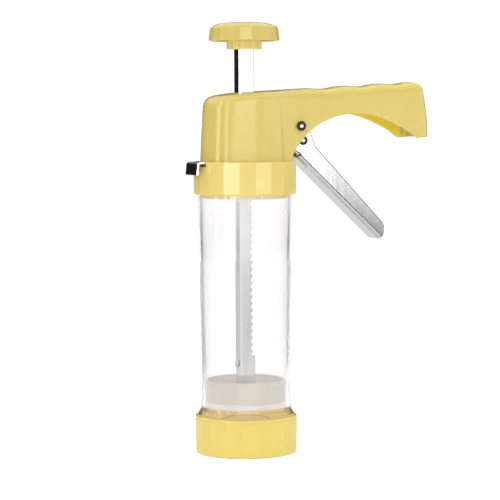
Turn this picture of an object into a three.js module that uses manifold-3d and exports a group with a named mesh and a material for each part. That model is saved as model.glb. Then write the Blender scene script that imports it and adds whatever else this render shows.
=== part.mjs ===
// Trigger cookie press: a hollow moulded body with a handle, a clear barrel hung below it by a faceted
// collar, a toothed rod with a piston and a knob, a squeeze lever with a drive pawl, a sprung release
// plate, and a screw ring that holds the pattern disc and is the foot that the press stands on.
// Millimetres. +Z is up and the barrel's axis is the line X = Y = 0 of the press group, with the handle
// towards +X. The exported group is shifted so that its origin is the centre of the base of its box.
import * as THREE from "three";
import { mergeVertices } from "three/addons/utils/BufferGeometryUtils.js";
import Module from "manifold-3d";

// ---- driving dimensions -------------------------------------------------------------------------
const FACETS = 20; // flats round the collar, the base ring and the knob
const ROUND = 40; // sides of a large round face
const SMALL_ROUND = 16; // sides of a pin, rivet or screw
const GAP = 0.3; // between pieces that touch

// base ring and pattern disc
const RING_HEIGHT = 23.2;
const RING_TOP_R = 31.8; // over the corners of the flats
const RING_FOOT_R = 31.4;
const RING_BORE_R = 30.3;
const RING_LIP_R = 26.4; // the hole that the dough leaves by
const RING_LIP_HEIGHT = 2.4;
const RING_SEAT_R = 28.4;
const RING_SEAT_HEIGHT = 4.6;
const RING_CHAMFER = 0.8;
const DISC_R = 28.0;
const DISC_BOTTOM = 2.7;
const DISC_THICK = 1.6;
const DISC_PETALS = 8;

// barrel
const TUBE_BOTTOM = 4.9;
const TUBE_TOP = 172.6;
const TUBE_FOOT_R = 29.9;
const TUBE_FLARE_BOTTOM = 23.9;
const TUBE_FLARE_TOP = 31.0;
const TUBE_LOW_R = 27.4; // outside, just above the flare
const TUBE_HIGH_R = 29.0; // outside, under the collar
const BORE_LOW_R = 25.4;
const BORE_HIGH_R = 26.7;
const BORE_TAPER_BOTTOM = 50;
const BORE_TAPER_TOP = 158;
const LUG_R = 30.0;
const LUG_BOTTOM = 167.4;
const LUG_THICK = 2.4;
const LUG_WIDTH = 12;

// collar
const COLLAR_BOTTOM = 159.9;
const COLLAR_TOP = 180.1;
const COLLAR_R = 31.8; // over the corners of the flats
const COLLAR_EDGE = 1.8; // rounding of its lower edge
const SKIRT_BORE_R = 29.4;
const LUG_GROOVE_R = 30.35;
const SPIGOT_R = 26.25;
const SPIGOT_BORE_R = 23.8;
const SPIGOT_BOTTOM = 157.4;
const COLLAR_FLOOR_BOTTOM = 173;
const COLLAR_FLOOR_TOP = 177.2;
const POCKET_R = 24.8;
const SLOT_HALF = 10.9; // the release plate's way out through the rim

// rod, a channel with its back to -X and teeth on the edges of both flanges
const ROD_BACK = -5.2;
const ROD_FRONT = 4.7;
const ROD_HALF = 4.3;
const ROD_WALL = 1.2;
const ROD_BOTTOM = 34.6;
const ROD_TOP = 258.5;
const TOOTH_TIP = 3.3;
const TOOTH_VALLEY = 1.8;
const TOOTH_PITCH = 4.25;
const TOOTH_FLAT = 0.35;
const TOOTH_START = 60;
const TOOTH_COUNT = 37;
const ROD_HOLE_CLEARANCE = 0.8;

// piston
const PISTON_R = 25.0;
const CUP_BOTTOM = 32.0;
const CUP_TOP = 45.2;
const CUP_WALL = 1.6;
const CUP_FLOOR = 2.3;
const SEAL_BOTTOM = 28.4;
const SEAL_GROOVE = 0.5;
const FOOT_RIVET_Z = 55;
const PISTON_SCREW_R = 1.8;
const PISTON_HOLE_R = 2.1;
const WASHER_R = 6;
const WASHER_BOTTOM = 27;
const CROSS_PIN_R = 1.3; // the foot rivet's shank and the knob's pin
const CROSS_WAY_R = 1.5;

// knob
const KNOB_BOTTOM = 253.9;
const KNOB_SHOULDER = 262.3;
const KNOB_TOP = 265.4;
const KNOB_LOW_R = 22.0;
const KNOB_HIGH_R = 20.9;
const KNOB_SKIRT_BORE_R = 19.4;
const KNOB_CEILING = 261.6;
const BOSS_R = 10.6;
const BOSS_BOTTOM = 248.8;
const BOSS_FLUTES = 10;
const BOSS_FLUTE_DEPTH = 0.35;
const KNOB_PIN_X = 0.5;
const KNOB_PIN_Z = 256.6;
const KNOB_PIN_HALF = 9.8;

// body shell
const SHELL_BOTTOM = 180.4;
const SHELL_R = 27.6; // round part, at its lower edge
const SHELL_R_DRAFT = 0.055; // loss of radius per millimetre of height
const HANDLE_HALF = 15.5; // half width, at the height of the pivot
const HANDLE_DRAFT = 0.03;
const HANDLE_END = 119.9;
const HANDLE_END_CURVE = 0.0039;
const HANDLE_END_LEVEL = 196; // height where the end stands furthest out
const END_CORNER_R = 6;
const BLEND_R = 22; // concave blend between the round part and the handle's side
const TOP_AT_AXIS = 222.8;
const TOP_SLOPE = 0.0575;
const TOP_FALL_START = -4; // from here towards the round end the roof falls away
const TOP_FALL = 0.0042;
const TOP_EDGE_R = 5;
const GRIP_CRESTS = [37.8, 65, 88.6, 112.1];
const GRIP_DEPTH = 1.05;
const SHELL_WALL = 2.4;
const CAVITY_TOP_EDGE_R = 3;
const ARCH = [
  // the handle's underside, from the body's lower edge to the stop at the handle's end
  [24.4, 179],
  [25.7, 184],
  [29.6, 189.8],
  [34.6, 195.6],
  [40.2, 200.4],
  [47, 204.3],
  [56, 207.5],
  [67.5, 209.2],
  [79, 208.3],
  [89.5, 205.3],
  [99.5, 200.9],
  [106, 197.1],
  [111, 193.5],
];
const STOP_BOTTOM_AT_END = 194.4;
const BOSS_PLACES = [
  [-12, -15.4],
  [-12, 15.4],
  [11, -16.1],
  [11, 16.1],
];
const SCREW_BOSS_R = 3.2;
const ROOF_INSIDE = 221.2; // a level inside the roof's thickness all round the rod
const BOSS_UNDER_TOP = 1.5; // the screw bosses end this far under the top surface
const PILOT_R = 1.8; // hole of a collar screw
const PILOT_TOP = 191;
const GUIDE_BOTTOM = 211;
const GUIDE_TOP = 219.3;
const GUIDE_HALF = 9;
const GUIDE_BACK = -11.3;
const GUIDE_FRONT = 6.9;
const GUIDE_BORE_HALF = 4.7;
const RIB_THICK = 2;

// lever and its linkage, in the plane Y = 0
const PIVOT = [31.2, 201.7];
const RIVET = [35.3, 192.7];
const PIVOT_R = 2.2;
const RIVET_R = 1.6;
const PAWL_PIN_R = 1.5;
const PIN_CLEARANCE = 0.2;
const CRANK = 19; // pivot to pawl pin
const CRANK_REST_DEG = 19.5; // above the horizontal, half of the lever's stroke
const LEVER_HALF = 9;
const LEVER_WALL = 1.2;
const LEVER_BEND_R = 3;
const WEB_TOP = [28.0, 185.7];
const WEB_TIP = [87.3, 130.1];
const LEVER_FLANGE_DEPTH = 30;
const FLANGE_KINK = 7; // index of the outline's point where the flange's edge turns up to the pivot
const PIVOT_EYE_R = 8.4;
const PIN_EYE_R = 4.4;
const PAWL_EYE_R = 3.4;
const PAWL_HALF = 5.6;

// release plate
const PLATE_HALF = 10;
const PLATE_THICK = 1.2;
const PLATE_TOP = 180.1;
const PLATE_LEFT = -34.6;
const PLATE_RIGHT = 12.6;
const TAB_BOTTOM = 172.0;
const TAB_LEAN = 0.7;
const TOOTH_CLEARANCE = 0.5;

// ---- solids -------------------------------------------------------------------------------------
const wasm = await Module();
wasm.setup();

// A closed geometry as a solid; a geometry whose faces point inwards is turned.
function solid(geometry) {
  const bare = geometry.index ? geometry.toNonIndexed() : geometry.clone();
  bare.deleteAttribute("normal");
  bare.deleteAttribute("uv");
  const merged = mergeVertices(bare, 1e-4);
  const vertProperties = new Float32Array(merged.attributes.position.array);
  const triVerts = new Uint32Array(merged.index.array);
  let made = new wasm.Manifold(new wasm.Mesh({ numProp: 3, vertProperties, triVerts }));
  if (made.volume() < 0) {
    for (let i = 0; i < triVerts.length; i += 3) {
      [triVerts[i + 1], triVerts[i + 2]] = [triVerts[i + 2], triVerts[i + 1]];
    }
    made = new wasm.Manifold(new wasm.Mesh({ numProp: 3, vertProperties, triVerts }));
  }
  return made;
}

function join(...solids) {
  return solids.reduce((whole, piece) => whole.add(piece));
}

function cut(whole, ...tools) {
  return tools.reduce((rest, tool) => rest.subtract(tool), whole);
}

function geometryOf(made) {
  const mesh = made.getMesh();
  const geometry = new THREE.BufferGeometry();
  geometry.setAttribute("position", new THREE.BufferAttribute(mesh.vertProperties, 3));
  geometry.setIndex(new THREE.BufferAttribute(mesh.triVerts, 1));
  geometry.computeVertexNormals();
  return geometry;
}

function block(x0, x1, y0, y1, z0, z1) {
  const box = new THREE.BoxGeometry(x1 - x0, y1 - y0, z1 - z0);
  return solid(box.translate((x0 + x1) / 2, (y0 + y1) / 2, (z0 + z1) / 2));
}

// A closed [radius, z] profile turned about Z, with a flat centred on each axis.
function turned(profile, sides = ROUND) {
  const points = profile.map(([r, z]) => new THREE.Vector2(Math.max(r, 0), z));
  points.push(points[0].clone());
  const lathe = new THREE.LatheGeometry(points, sides);
  return solid(lathe.rotateX(Math.PI / 2).rotateZ(Math.PI / sides));
}

// A round bar between two points.
function bar(from, to, radius, sides = SMALL_ROUND) {
  const start = new THREE.Vector3(...from);
  const way = new THREE.Vector3(...to).sub(start);
  const cylinder = new THREE.CylinderGeometry(radius, radius, way.length(), sides);
  cylinder.translate(0, way.length() / 2, 0);
  const up = new THREE.Vector3(0, 1, 0);
  cylinder.applyQuaternion(new THREE.Quaternion().setFromUnitVectors(up, way.normalize()));
  return solid(cylinder.translate(start.x, start.y, start.z));
}

function shapeOf(points) {
  return new THREE.Shape(points.map(([x, y]) => new THREE.Vector2(x, y)));
}

// An outline in the XZ plane, drawn out along Y from y0 to y1.
function sideProfile(points, y0, y1) {
  const prism = new THREE.ExtrudeGeometry(shapeOf(points), { depth: y1 - y0, bevelEnabled: false });
  return solid(prism.rotateX(Math.PI / 2).translate(0, y1, 0));
}

// An outline in the XY plane, drawn up from z0 to z1.
function planProfile(points, z0, z1) {
  const prism = new THREE.ExtrudeGeometry(shapeOf(points), { depth: z1 - z0, bevelEnabled: false });
  return solid(prism.translate(0, 0, z0));
}

function arc(cx, cy, radius, startDeg, endDeg, steps) {
  const points = [];
  for (let i = 0; i <= steps; i++) {
    const a = THREE.MathUtils.degToRad(startDeg + ((endDeg - startDeg) * i) / steps);
    points.push([cx + radius * Math.cos(a), cy + radius * Math.sin(a)]);
  }
  return points;
}

// A five-sided wire along a list of points.
function wire(points, radius, steps) {
  const path = new THREE.CatmullRomCurve3(points.map((p) => new THREE.Vector3(...p)));
  const section = shapeOf(arc(0, 0, radius, 0, 288, 4));
  return solid(new THREE.ExtrudeGeometry(section, { steps, bevelEnabled: false, extrudePath: path }));
}

// ---- the scene ----------------------------------------------------------------------------------
const press = new THREE.Group();

const LOOKS = {
  yellow: { color: 0xe6d283, roughness: 0.35, metalness: 0 },
  ringYellow: { color: 0xf0de8e, roughness: 0.35, metalness: 0 },
  clear: { color: 0xf6f6f2, roughness: 0.1, metalness: 0, transparent: true, opacity: 0.3 },
  frosted: { color: 0xd8d2c8, roughness: 0.5, metalness: 0 },
  white: { color: 0xf2f0ea, roughness: 0.5, metalness: 0 },
  steel: { color: 0xc4c4c2, roughness: 0.3, metalness: 1 },
  polished: { color: 0xd2d2d0, roughness: 0.12, metalness: 1 },
};

function add(name, look, made) {
  const mesh = new THREE.Mesh(geometryOf(made), new THREE.MeshStandardMaterial(LOOKS[look]));
  mesh.name = name;
  press.add(mesh);
}

// ---- base ring and pattern disc -----------------------------------------------------------------
const ringOutside = turned(
  [
    [0, 0],
    [RING_FOOT_R, 0],
    [RING_TOP_R, RING_HEIGHT - RING_CHAMFER],
    [RING_TOP_R - RING_CHAMFER, RING_HEIGHT],
    [0, RING_HEIGHT],
  ],
  FACETS,
);
const ringInside = turned([
  [0, -1],
  [RING_LIP_R, -1],
  [RING_LIP_R, RING_LIP_HEIGHT],
  [RING_SEAT_R, RING_LIP_HEIGHT],
  [RING_SEAT_R, RING_SEAT_HEIGHT],
  [RING_BORE_R, RING_SEAT_HEIGHT],
  [RING_BORE_R, RING_HEIGHT + 1],
  [0, RING_HEIGHT + 1],
]);
add("base_ring", "ringYellow", cut(ringOutside, ringInside));

function patternDisc() {
  const top = DISC_BOTTOM + DISC_THICK;
  let disc = turned([
    [0, DISC_BOTTOM],
    [DISC_R, DISC_BOTTOM],
    [DISC_R, top],
    [0, top],
  ]);
  for (let i = 0; i < DISC_PETALS; i++) {
    const turn = (2 * Math.PI * i) / DISC_PETALS;
    const petal = [
      [4.5, -0.6],
      [9, -1.9],
      [13.5, -2.4],
      [16.6, -1.5],
      [17.6, 0],
      [16.6, 1.5],
      [13.5, 2.4],
      [9, 1.9],
      [4.5, 0.6],
    ].map(([x, y]) => [
      x * Math.cos(turn) - y * Math.sin(turn),
      x * Math.sin(turn) + y * Math.cos(turn),
    ]);
    disc = disc.subtract(planProfile(petal, DISC_BOTTOM - 1, top + 1));
  }
  return disc;
}
add("pattern_disc", "white", patternDisc());

// ---- barrel -------------------------------------------------------------------------------------
function barrelTube() {
  const outside = turned([
    [0, TUBE_BOTTOM],
    [TUBE_FOOT_R, TUBE_BOTTOM],
    [TUBE_FOOT_R, TUBE_FLARE_BOTTOM],
    [TUBE_LOW_R + 0.9, TUBE_FLARE_BOTTOM + 3.4],
    [TUBE_LOW_R + 0.2, TUBE_FLARE_TOP],
    [TUBE_LOW_R, BORE_TAPER_BOTTOM],
    [TUBE_HIGH_R, BORE_TAPER_TOP],
    [TUBE_HIGH_R, TUBE_TOP],
    [0, TUBE_TOP],
  ]);
  const lugs = [];
  for (let i = 0; i < 3; i++) {
    const lug = new THREE.BoxGeometry(LUG_R, LUG_WIDTH, LUG_THICK);
    lug.translate(LUG_R / 2 - 0.6, 0, LUG_BOTTOM + LUG_THICK / 2).rotateZ((2 * Math.PI * i) / 3);
    lugs.push(solid(lug));
  }
  const bore = turned([
    [0, TUBE_BOTTOM - 1],
    [BORE_LOW_R, TUBE_BOTTOM - 1],
    [BORE_LOW_R, BORE_TAPER_BOTTOM],
    [BORE_HIGH_R, BORE_TAPER_TOP],
    [BORE_HIGH_R, TUBE_TOP + 1],
    [0, TUBE_TOP + 1],
  ]);
  return cut(join(outside, ...lugs), bore);
}
add("barrel_tube", "clear", barrelTube());

// ---- collar -------------------------------------------------------------------------------------
const rodHole = [
  ROD_BACK - ROD_HOLE_CLEARANCE,
  ROD_FRONT + ROD_HOLE_CLEARANCE,
  -ROD_HALF - ROD_HOLE_CLEARANCE,
  ROD_HALF + ROD_HOLE_CLEARANCE,
];

function collar() {
  const outside = turned(
    [
      [0, COLLAR_BOTTOM],
      [COLLAR_R - COLLAR_EDGE, COLLAR_BOTTOM],
      [COLLAR_R - 0.3 * COLLAR_EDGE, COLLAR_BOTTOM + 0.3 * COLLAR_EDGE],
      [COLLAR_R, COLLAR_BOTTOM + COLLAR_EDGE],
      [COLLAR_R, COLLAR_TOP],
      [0, COLLAR_TOP],
    ],
    FACETS,
  );
  const socket = turned([
    [0, COLLAR_BOTTOM - 1],
    [SKIRT_BORE_R, COLLAR_BOTTOM - 1],
    [SKIRT_BORE_R, LUG_BOTTOM - 0.6],
    [LUG_GROOVE_R, LUG_BOTTOM - 0.6],
    [LUG_GROOVE_R, LUG_BOTTOM + LUG_THICK + 0.6],
    [SKIRT_BORE_R, LUG_BOTTOM + LUG_THICK + 0.6],
    [SKIRT_BORE_R, COLLAR_FLOOR_BOTTOM],
    [0, COLLAR_FLOOR_BOTTOM],
  ]);
  const spigot = turned([
    [SPIGOT_BORE_R, SPIGOT_BOTTOM],
    [SPIGOT_R, SPIGOT_BOTTOM],
    [SPIGOT_R, COLLAR_FLOOR_BOTTOM + 1],
    [SPIGOT_BORE_R, COLLAR_FLOOR_BOTTOM + 1],
  ]);
  const pocket = turned([
    [0, COLLAR_FLOOR_TOP],
    [POCKET_R, COLLAR_FLOOR_TOP],
    [POCKET_R, COLLAR_TOP + 1],
    [0, COLLAR_TOP + 1],
  ]);
  const slot = block(-COLLAR_R - 1, 0, -SLOT_HALF, SLOT_HALF, COLLAR_FLOOR_TOP, COLLAR_TOP + 1);
  const rodWay = block(...rodHole, COLLAR_FLOOR_BOTTOM - 1, COLLAR_FLOOR_TOP + 1);
  const screwWays = BOSS_PLACES.map(([x, y]) =>
    bar([x, y, COLLAR_FLOOR_BOTTOM - 1], [x, y, COLLAR_FLOOR_TOP + 1], 2),
  );
  return cut(join(cut(outside, socket), spigot), pocket, slot, rodWay, ...screwWays);
}
add("collar", "yellow", collar());

BOSS_PLACES.forEach(([x, y], i) => {
  const shank = bar([x, y, 172], [x, y, 189], 1.5);
  const head = bar([x, y, 170.6], [x, y, 172.7], 3);
  const recess = block(x - 2, x + 2, y - 0.4, y + 0.4, 170, 171.4);
  add(`collar_screw_${i + 1}`, "steel", cut(join(shank, head), recess));
});

// ---- body shell ---------------------------------------------------------------------------------
// Height of the roof without its finger dips: a straight rise that falls away at the round end.
function plainTop(x) {
  const beyond = Math.max(TOP_FALL_START - x, 0);
  return TOP_AT_AXIS + TOP_SLOPE * x - TOP_FALL * beyond ** 2;
}

// Height of the top surface, with three finger dips between the crests.
function topHeight(x) {
  for (let i = 0; i + 1 < GRIP_CRESTS.length; i++) {
    const part = (x - GRIP_CRESTS[i]) / (GRIP_CRESTS[i + 1] - GRIP_CRESTS[i]);
    if (part > 0 && part < 1) {
      return plainTop(x) - GRIP_DEPTH * Math.sin(Math.PI * part) ** 2;
    }
  }
  return plainTop(x);
}

// One side (Y >= 0) of the plan outline, from the round part's far left to the handle's end.
function planOutline(radius, half, end, endRadius, blend, steps) {
  const blendX = Math.sqrt((radius + blend) ** 2 - (half + blend) ** 2);
  const meet = THREE.MathUtils.radToDeg(Math.atan2(half + blend, blendX));
  const round = arc(0, 0, radius, 180, meet, steps.round);
  round[0][1] = 0;
  const blended = arc(blendX, half + blend, blend, 180 + meet, 270, steps.blend).slice(1);
  const side = [];
  for (let i = 1; i < steps.side; i++) {
    side.push([blendX + ((end - endRadius - blendX) * i) / steps.side, half]);
  }
  const corner = arc(end - endRadius, half - endRadius, endRadius, 90, 0, steps.corner);
  return [...round, ...blended, ...side, ...corner];
}

// A solid made of plan outlines at rising levels. The roof is a strip between the outline's two sides,
// so that it follows the top's height along X.
function stacked(levels) {
  const positions = [];
  const index = [];
  const n = levels[0].length;
  const ringSize = 2 * n - 1;
  for (const level of levels) {
    level.forEach(([x, y, z]) => positions.push(x, y, z));
    for (let i = 1; i < n; i++) {
      const [x, y, z] = level[i];
      positions.push(x, -y, z);
    }
  }
  const near = (level, i) => level * ringSize + (i === 0 ? 0 : n - 1 + i);
  const far = (level, i) => level * ringSize + i;
  for (let level = 0; level + 1 < levels.length; level++) {
    for (let i = 0; i + 1 < n; i++) {
      index.push(far(level, i), far(level + 1, i), far(level + 1, i + 1));
      index.push(far(level, i), far(level + 1, i + 1), far(level, i + 1));
      index.push(near(level, i), near(level + 1, i + 1), near(level + 1, i));
      index.push(near(level, i), near(level, i + 1), near(level + 1, i + 1));
    }
    const last = n - 1;
    index.push(far(level, last), far(level + 1, last), near(level + 1, last));
    index.push(far(level, last), near(level + 1, last), near(level, last));
  }
  for (const [level, turn] of [
    [0, false],
    [levels.length - 1, true],
  ]) {
    const face = (a, b, c) => (turn ? index.push(a, c, b) : index.push(a, b, c));
    face(far(level, 0), far(level, 1), near(level, 1));
    for (let i = 1; i + 1 < n; i++) {
      face(far(level, i), far(level, i + 1), near(level, i + 1));
      face(far(level, i), near(level, i + 1), near(level, i));
    }
  }
  const geometry = new THREE.BufferGeometry();
  geometry.setAttribute("position", new THREE.Float32BufferAttribute(positions, 3));
  geometry.setIndex(index);
  return solid(geometry);
}

const OUTER_FORM = {
  wall: 0,
  edgeR: TOP_EDGE_R,
  end: HANDLE_END,
  bottom: SHELL_BOTTOM,
  topAt: topHeight,
  edgeSteps: 4,
  steps: { round: 18, blend: 5, side: 24, corner: 3 },
};
const CAVITY_FORM = {
  wall: SHELL_WALL,
  edgeR: CAVITY_TOP_EDGE_R,
  end: HANDLE_END - SHELL_WALL,
  bottom: SHELL_BOTTOM - 1,
  topAt: plainTop,
  edgeSteps: 2,
  steps: { round: 14, blend: 4, side: 2, corner: 3 },
};

// The moulding's outer form or its cavity, as rising levels of plan outlines.
function mouldingLevels(form) {
  const { wall, edgeR, end, bottom } = form;
  const heights = [0, 0.5].map((part) => ({ part, drop: 0, inset: 0 }));
  for (let i = 0; i <= form.edgeSteps; i++) {
    const a = (Math.PI * i) / (2 * form.edgeSteps);
    heights.push({ part: 1, drop: edgeR * (1 - Math.sin(a)), inset: edgeR * (1 - Math.cos(a)) });
  }
  return heights.map(({ part, drop, inset }) => {
    const heightAt = (x) => {
      const edge = form.topAt(x) - wall - edgeR;
      return part < 1 ? bottom + part * (edge - bottom) : edge + edgeR - drop;
    };
    const radius = SHELL_R - SHELL_R_DRAFT * (heightAt(0) - SHELL_BOTTOM) - wall - inset;
    const half = HANDLE_HALF - HANDLE_DRAFT * (heightAt(PIVOT[0]) - PIVOT[1]) - wall - inset;
    const endRise = Math.max(heightAt(end) - HANDLE_END_LEVEL, 0);
    const levelEnd = end - HANDLE_END_CURVE * endRise ** 2 - inset;
    const cornerR = Math.max(END_CORNER_R - inset, 1);
    const outline = planOutline(radius, half, levelEnd, cornerR, BLEND_R + wall + inset, form.steps);
    return outline.map(([x, y]) => [x, y, heightAt(x)]);
  });
}

function bodyShell() {
  const outside = stacked(mouldingLevels(OUTER_FORM));
  const cavity = stacked(mouldingLevels(CAVITY_FORM));
  const curve = new THREE.SplineCurve(ARCH.map(([x, z]) => new THREE.Vector2(x, z)));
  const underside = curve.getPoints(26).map((p) => [p.x, p.y]);
  const beyond = HANDLE_END + 6;
  const archPrism = sideProfile(
    [...underside, [HANDLE_END, STOP_BOTTOM_AT_END], [beyond, STOP_BOTTOM_AT_END], [beyond, 179]],
    -40,
    40,
  );
  const bosses = BOSS_PLACES.map(([x, y]) =>
    bar([x, y, COLLAR_FLOOR_TOP + GAP], [x, y, topHeight(x) - BOSS_UNDER_TOP], SCREW_BOSS_R),
  );
  const guideRibs = [-1, 1].map((side) => {
    const inner = (GUIDE_HALF + GAP) * side;
    const outer = inner + RIB_THICK * side;
    const [near, far] = [Math.min(inner, outer), Math.max(inner, outer)];
    return block(GUIDE_BACK + GAP, GUIDE_FRONT + 0.1, near, far, GUIDE_BOTTOM, ROOF_INSIDE);
  });
  const pilots = BOSS_PLACES.map(([x, y]) => bar([x, y, COLLAR_FLOOR_TOP], [x, y, PILOT_TOP], PILOT_R));
  const rodWay = block(...rodHole, TOP_AT_AXIS - 8, TOP_AT_AXIS + 3);
  const [px, pz] = PIVOT;
  const pivotHole = bar([px, -20, pz], [px, 20, pz], PIVOT_R + 0.25);
  const hollow = cut(outside, cavity, archPrism);
  return cut(join(hollow, ...bosses, ...guideRibs), ...pilots, rodWay, pivotHole);
}
add("body_shell", "yellow", bodyShell());

// A nylon guide for the rod, between two ribs under the roof.
add(
  "rod_guide",
  "white",
  cut(
    block(GUIDE_BACK, GUIDE_FRONT, -GUIDE_HALF, GUIDE_HALF, GUIDE_BOTTOM, GUIDE_TOP),
    block(
      ROD_BACK - 0.4,
      ROD_FRONT + 0.4,
      -GUIDE_BORE_HALF,
      GUIDE_BORE_HALF,
      GUIDE_BOTTOM - 1,
      GUIDE_TOP + 1,
    ),
  ),
);

// ---- lever, pivots and drive pawl ---------------------------------------------------------------
const crankAngle = THREE.MathUtils.degToRad(CRANK_REST_DEG);
const PAWL_PIN = [PIVOT[0] - CRANK * Math.cos(crankAngle), PIVOT[1] + CRANK * Math.sin(crankAngle)];

// A rivet along Y with a dished head at each end.
function rivet([x, z], shankR, headR, headIn, headOut) {
  const dish = headOut - 0.55;
  const oneHead = [
    [0, headIn],
    [headR, headIn],
    [headR, headIn + 0.45],
    [headR - 0.5, headOut],
    [headR * 0.55, headOut],
    [headR * 0.3, dish],
    [0, dish],
  ];
  const head = turned(oneHead, SMALL_ROUND);
  const turnedHead = (side) => {
    const turn = new THREE.Matrix4().makeRotationX((-side * Math.PI) / 2);
    turn.setPosition(x, 0, z);
    return head.transform(turn.elements);
  };
  const shank = bar([x, -headIn - 0.2, z], [x, headIn + 0.2, z], shankR);
  return join(shank, turnedHead(1), turnedHead(-1));
}
const PIVOT_HEAD = [HANDLE_HALF + 0.5, HANDLE_HALF + 1.7]; // the head's inner and outer face
add("pivot_rivet", "polished", rivet(PIVOT, PIVOT_R, 2.95, ...PIVOT_HEAD));
add("lever_rivet", "polished", rivet(RIVET, RIVET_R, 2.85, LEVER_HALF + 0.1, LEVER_HALF + 1.2));
add("pawl_pin", "steel", rivet(PAWL_PIN, PAWL_PIN_R, 2.3, LEVER_HALF + 0.1, LEVER_HALF + 0.9));

function triggerLever() {
  const along = new THREE.Vector2(WEB_TIP[0] - WEB_TOP[0], WEB_TIP[1] - WEB_TOP[1]).normalize();
  const length = 120; // longer than the lever, which its side outline trims
  const overrun = 8;
  const w = LEVER_HALF;
  const t = LEVER_WALL;
  const r = LEVER_BEND_R;
  // The channel's section: v across (Y), u away from the web towards the handle.
  const section = [
    [LEVER_FLANGE_DEPTH, -w],
    ...arc(r, -w + r, r, 270, 180, 4),
    ...arc(r, w - r, r, 180, 90, 4),
    [LEVER_FLANGE_DEPTH, w],
    [LEVER_FLANGE_DEPTH, w - t],
    ...arc(r, w - r, r - t, 90, 180, 4),
    ...arc(r, -w + r, r - t, 180, 270, 4),
    [LEVER_FLANGE_DEPTH, -w + t],
  ];
  const channel = new THREE.ExtrudeGeometry(shapeOf(section), { depth: length, bevelEnabled: false });
  const frame = new THREE.Matrix4().makeBasis(
    new THREE.Vector3(-along.y, 0, along.x),
    new THREE.Vector3(0, 1, 0),
    new THREE.Vector3(-along.x, 0, -along.y),
  );
  channel.applyMatrix4(frame);
  channel.translate(WEB_TIP[0] + overrun * along.x, 0, WEB_TIP[1] + overrun * along.y);
  const [ax, az] = PIVOT;
  const [cx, cz] = PAWL_PIN;
  const outline = [
    WEB_TOP,
    WEB_TIP,
    [88.9, 131.5],
    [90.1, 134.2],
    [90.4, 137.6],
    [89.6, 140.2],
    [88.2, 142.2],
    [44, 188.7],
    [40.6, 197.5],
    ...arc(ax, az, PIVOT_EYE_R, -10, 100, 6),
    [cx + 2, cz + PIN_EYE_R],
    ...arc(cx, cz, PIN_EYE_R, 100, 260, 8),
    [cx + 4, cz - PIN_EYE_R],
    [ax - 8, az - 4.5],
    [ax - 5.5, az - 9.5],
  ];
  const arm = solid(channel).intersect(sideProfile(outline, -w - 1, w + 1));
  // The two cheeks that carry the pivot and the pawl pin, beyond the end of the web.
  const cheek = [[27.4, 190.6], [34, 184], ...outline.slice(FLANGE_KINK)];
  const cheeks = [sideProfile(cheek, -w, -w + t), sideProfile(cheek, w - t, w)];
  const holes = [
    bar([ax, -12, az], [ax, 12, az], PIVOT_R + PIN_CLEARANCE),
    bar([RIVET[0], -12, RIVET[1]], [RIVET[0], 12, RIVET[1]], RIVET_R + PIN_CLEARANCE),
    bar([cx, -12, cz], [cx, 12, cz], PAWL_PIN_R + PIN_CLEARANCE),
  ];
  return cut(join(arm, ...cheeks), ...holes);
}
add("trigger_lever", "steel", triggerLever());

// The pawl hangs on its pin and reaches down to the teeth; it stops short of their tips.
function drivePawl() {
  const [cx, cz] = PAWL_PIN;
  const tip = TOOTH_TIP + TOOTH_CLEARANCE + 1.2;
  const outline = [
    ...arc(cx, cz, PAWL_EYE_R, -60, 170, 12),
    [tip, cz - 6.4],
    [tip, cz - 8.2],
    [tip + 2.2, cz - 9.2],
  ];
  const pinWay = bar([cx, -8, cz], [cx, 8, cz], PAWL_PIN_R + PIN_CLEARANCE);
  return cut(sideProfile(outline, -PAWL_HALF, PAWL_HALF), pinWay);
}
add("drive_pawl", "steel", drivePawl());

// Return spring of the lever: a coil round the pivot, one leg up to the roof, one down to the rivet.
function leverSpring() {
  const [ax, az] = PIVOT;
  const coilR = 4.1;
  const coilHalf = 3;
  const turns = 3;
  const steps = turns * 8;
  const coil = [];
  for (let i = 0; i <= steps; i++) {
    const a = (2 * Math.PI * turns * i) / steps - Math.PI / 2;
    const y = -coilHalf + (2 * coilHalf * i) / steps;
    coil.push([ax + coilR * Math.cos(a), y, az + coilR * Math.sin(a)]);
  }
  const legDown = [
    [RIVET[0] + 2.6, -3.2, RIVET[1] + 1.4],
    [RIVET[0] - 1.4, -3.1, az - coilR - 0.4],
  ];
  const legUp = [
    [ax + 4.5, 3.1, az - coilR + 0.4],
    [ax + 13, 3.2, az + 4],
    [ax + 22, 3.2, az + 12],
  ];
  return wire([...legDown, ...coil, ...legUp], 0.6, 46);
}
add("lever_spring", "steel", leverSpring());

// ---- release plate ------------------------------------------------------------------------------
function releasePlate() {
  const bottom = PLATE_TOP - PLATE_THICK;
  const bend = 1.6;
  const outline = [
    [PLATE_RIGHT, bottom],
    [PLATE_RIGHT, PLATE_TOP],
    ...arc(PLATE_LEFT + bend, PLATE_TOP - bend, bend, 90, 180, 4),
    [PLATE_LEFT - TAB_LEAN, TAB_BOTTOM],
    [PLATE_LEFT - TAB_LEAN + PLATE_THICK, TAB_BOTTOM],
    [PLATE_LEFT + PLATE_THICK, bottom - 0.5],
    [PLATE_LEFT + PLATE_THICK + 0.5, bottom],
  ];
  const window = block(
    ROD_BACK - 4,
    TOOTH_TIP + TOOTH_CLEARANCE,
    -ROD_HALF - 0.6,
    ROD_HALF + 0.6,
    bottom - 1,
    PLATE_TOP + 1,
  );
  return sideProfile(outline, -PLATE_HALF, PLATE_HALF).subtract(window);
}
add("release_plate", "polished", releasePlate());

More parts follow.
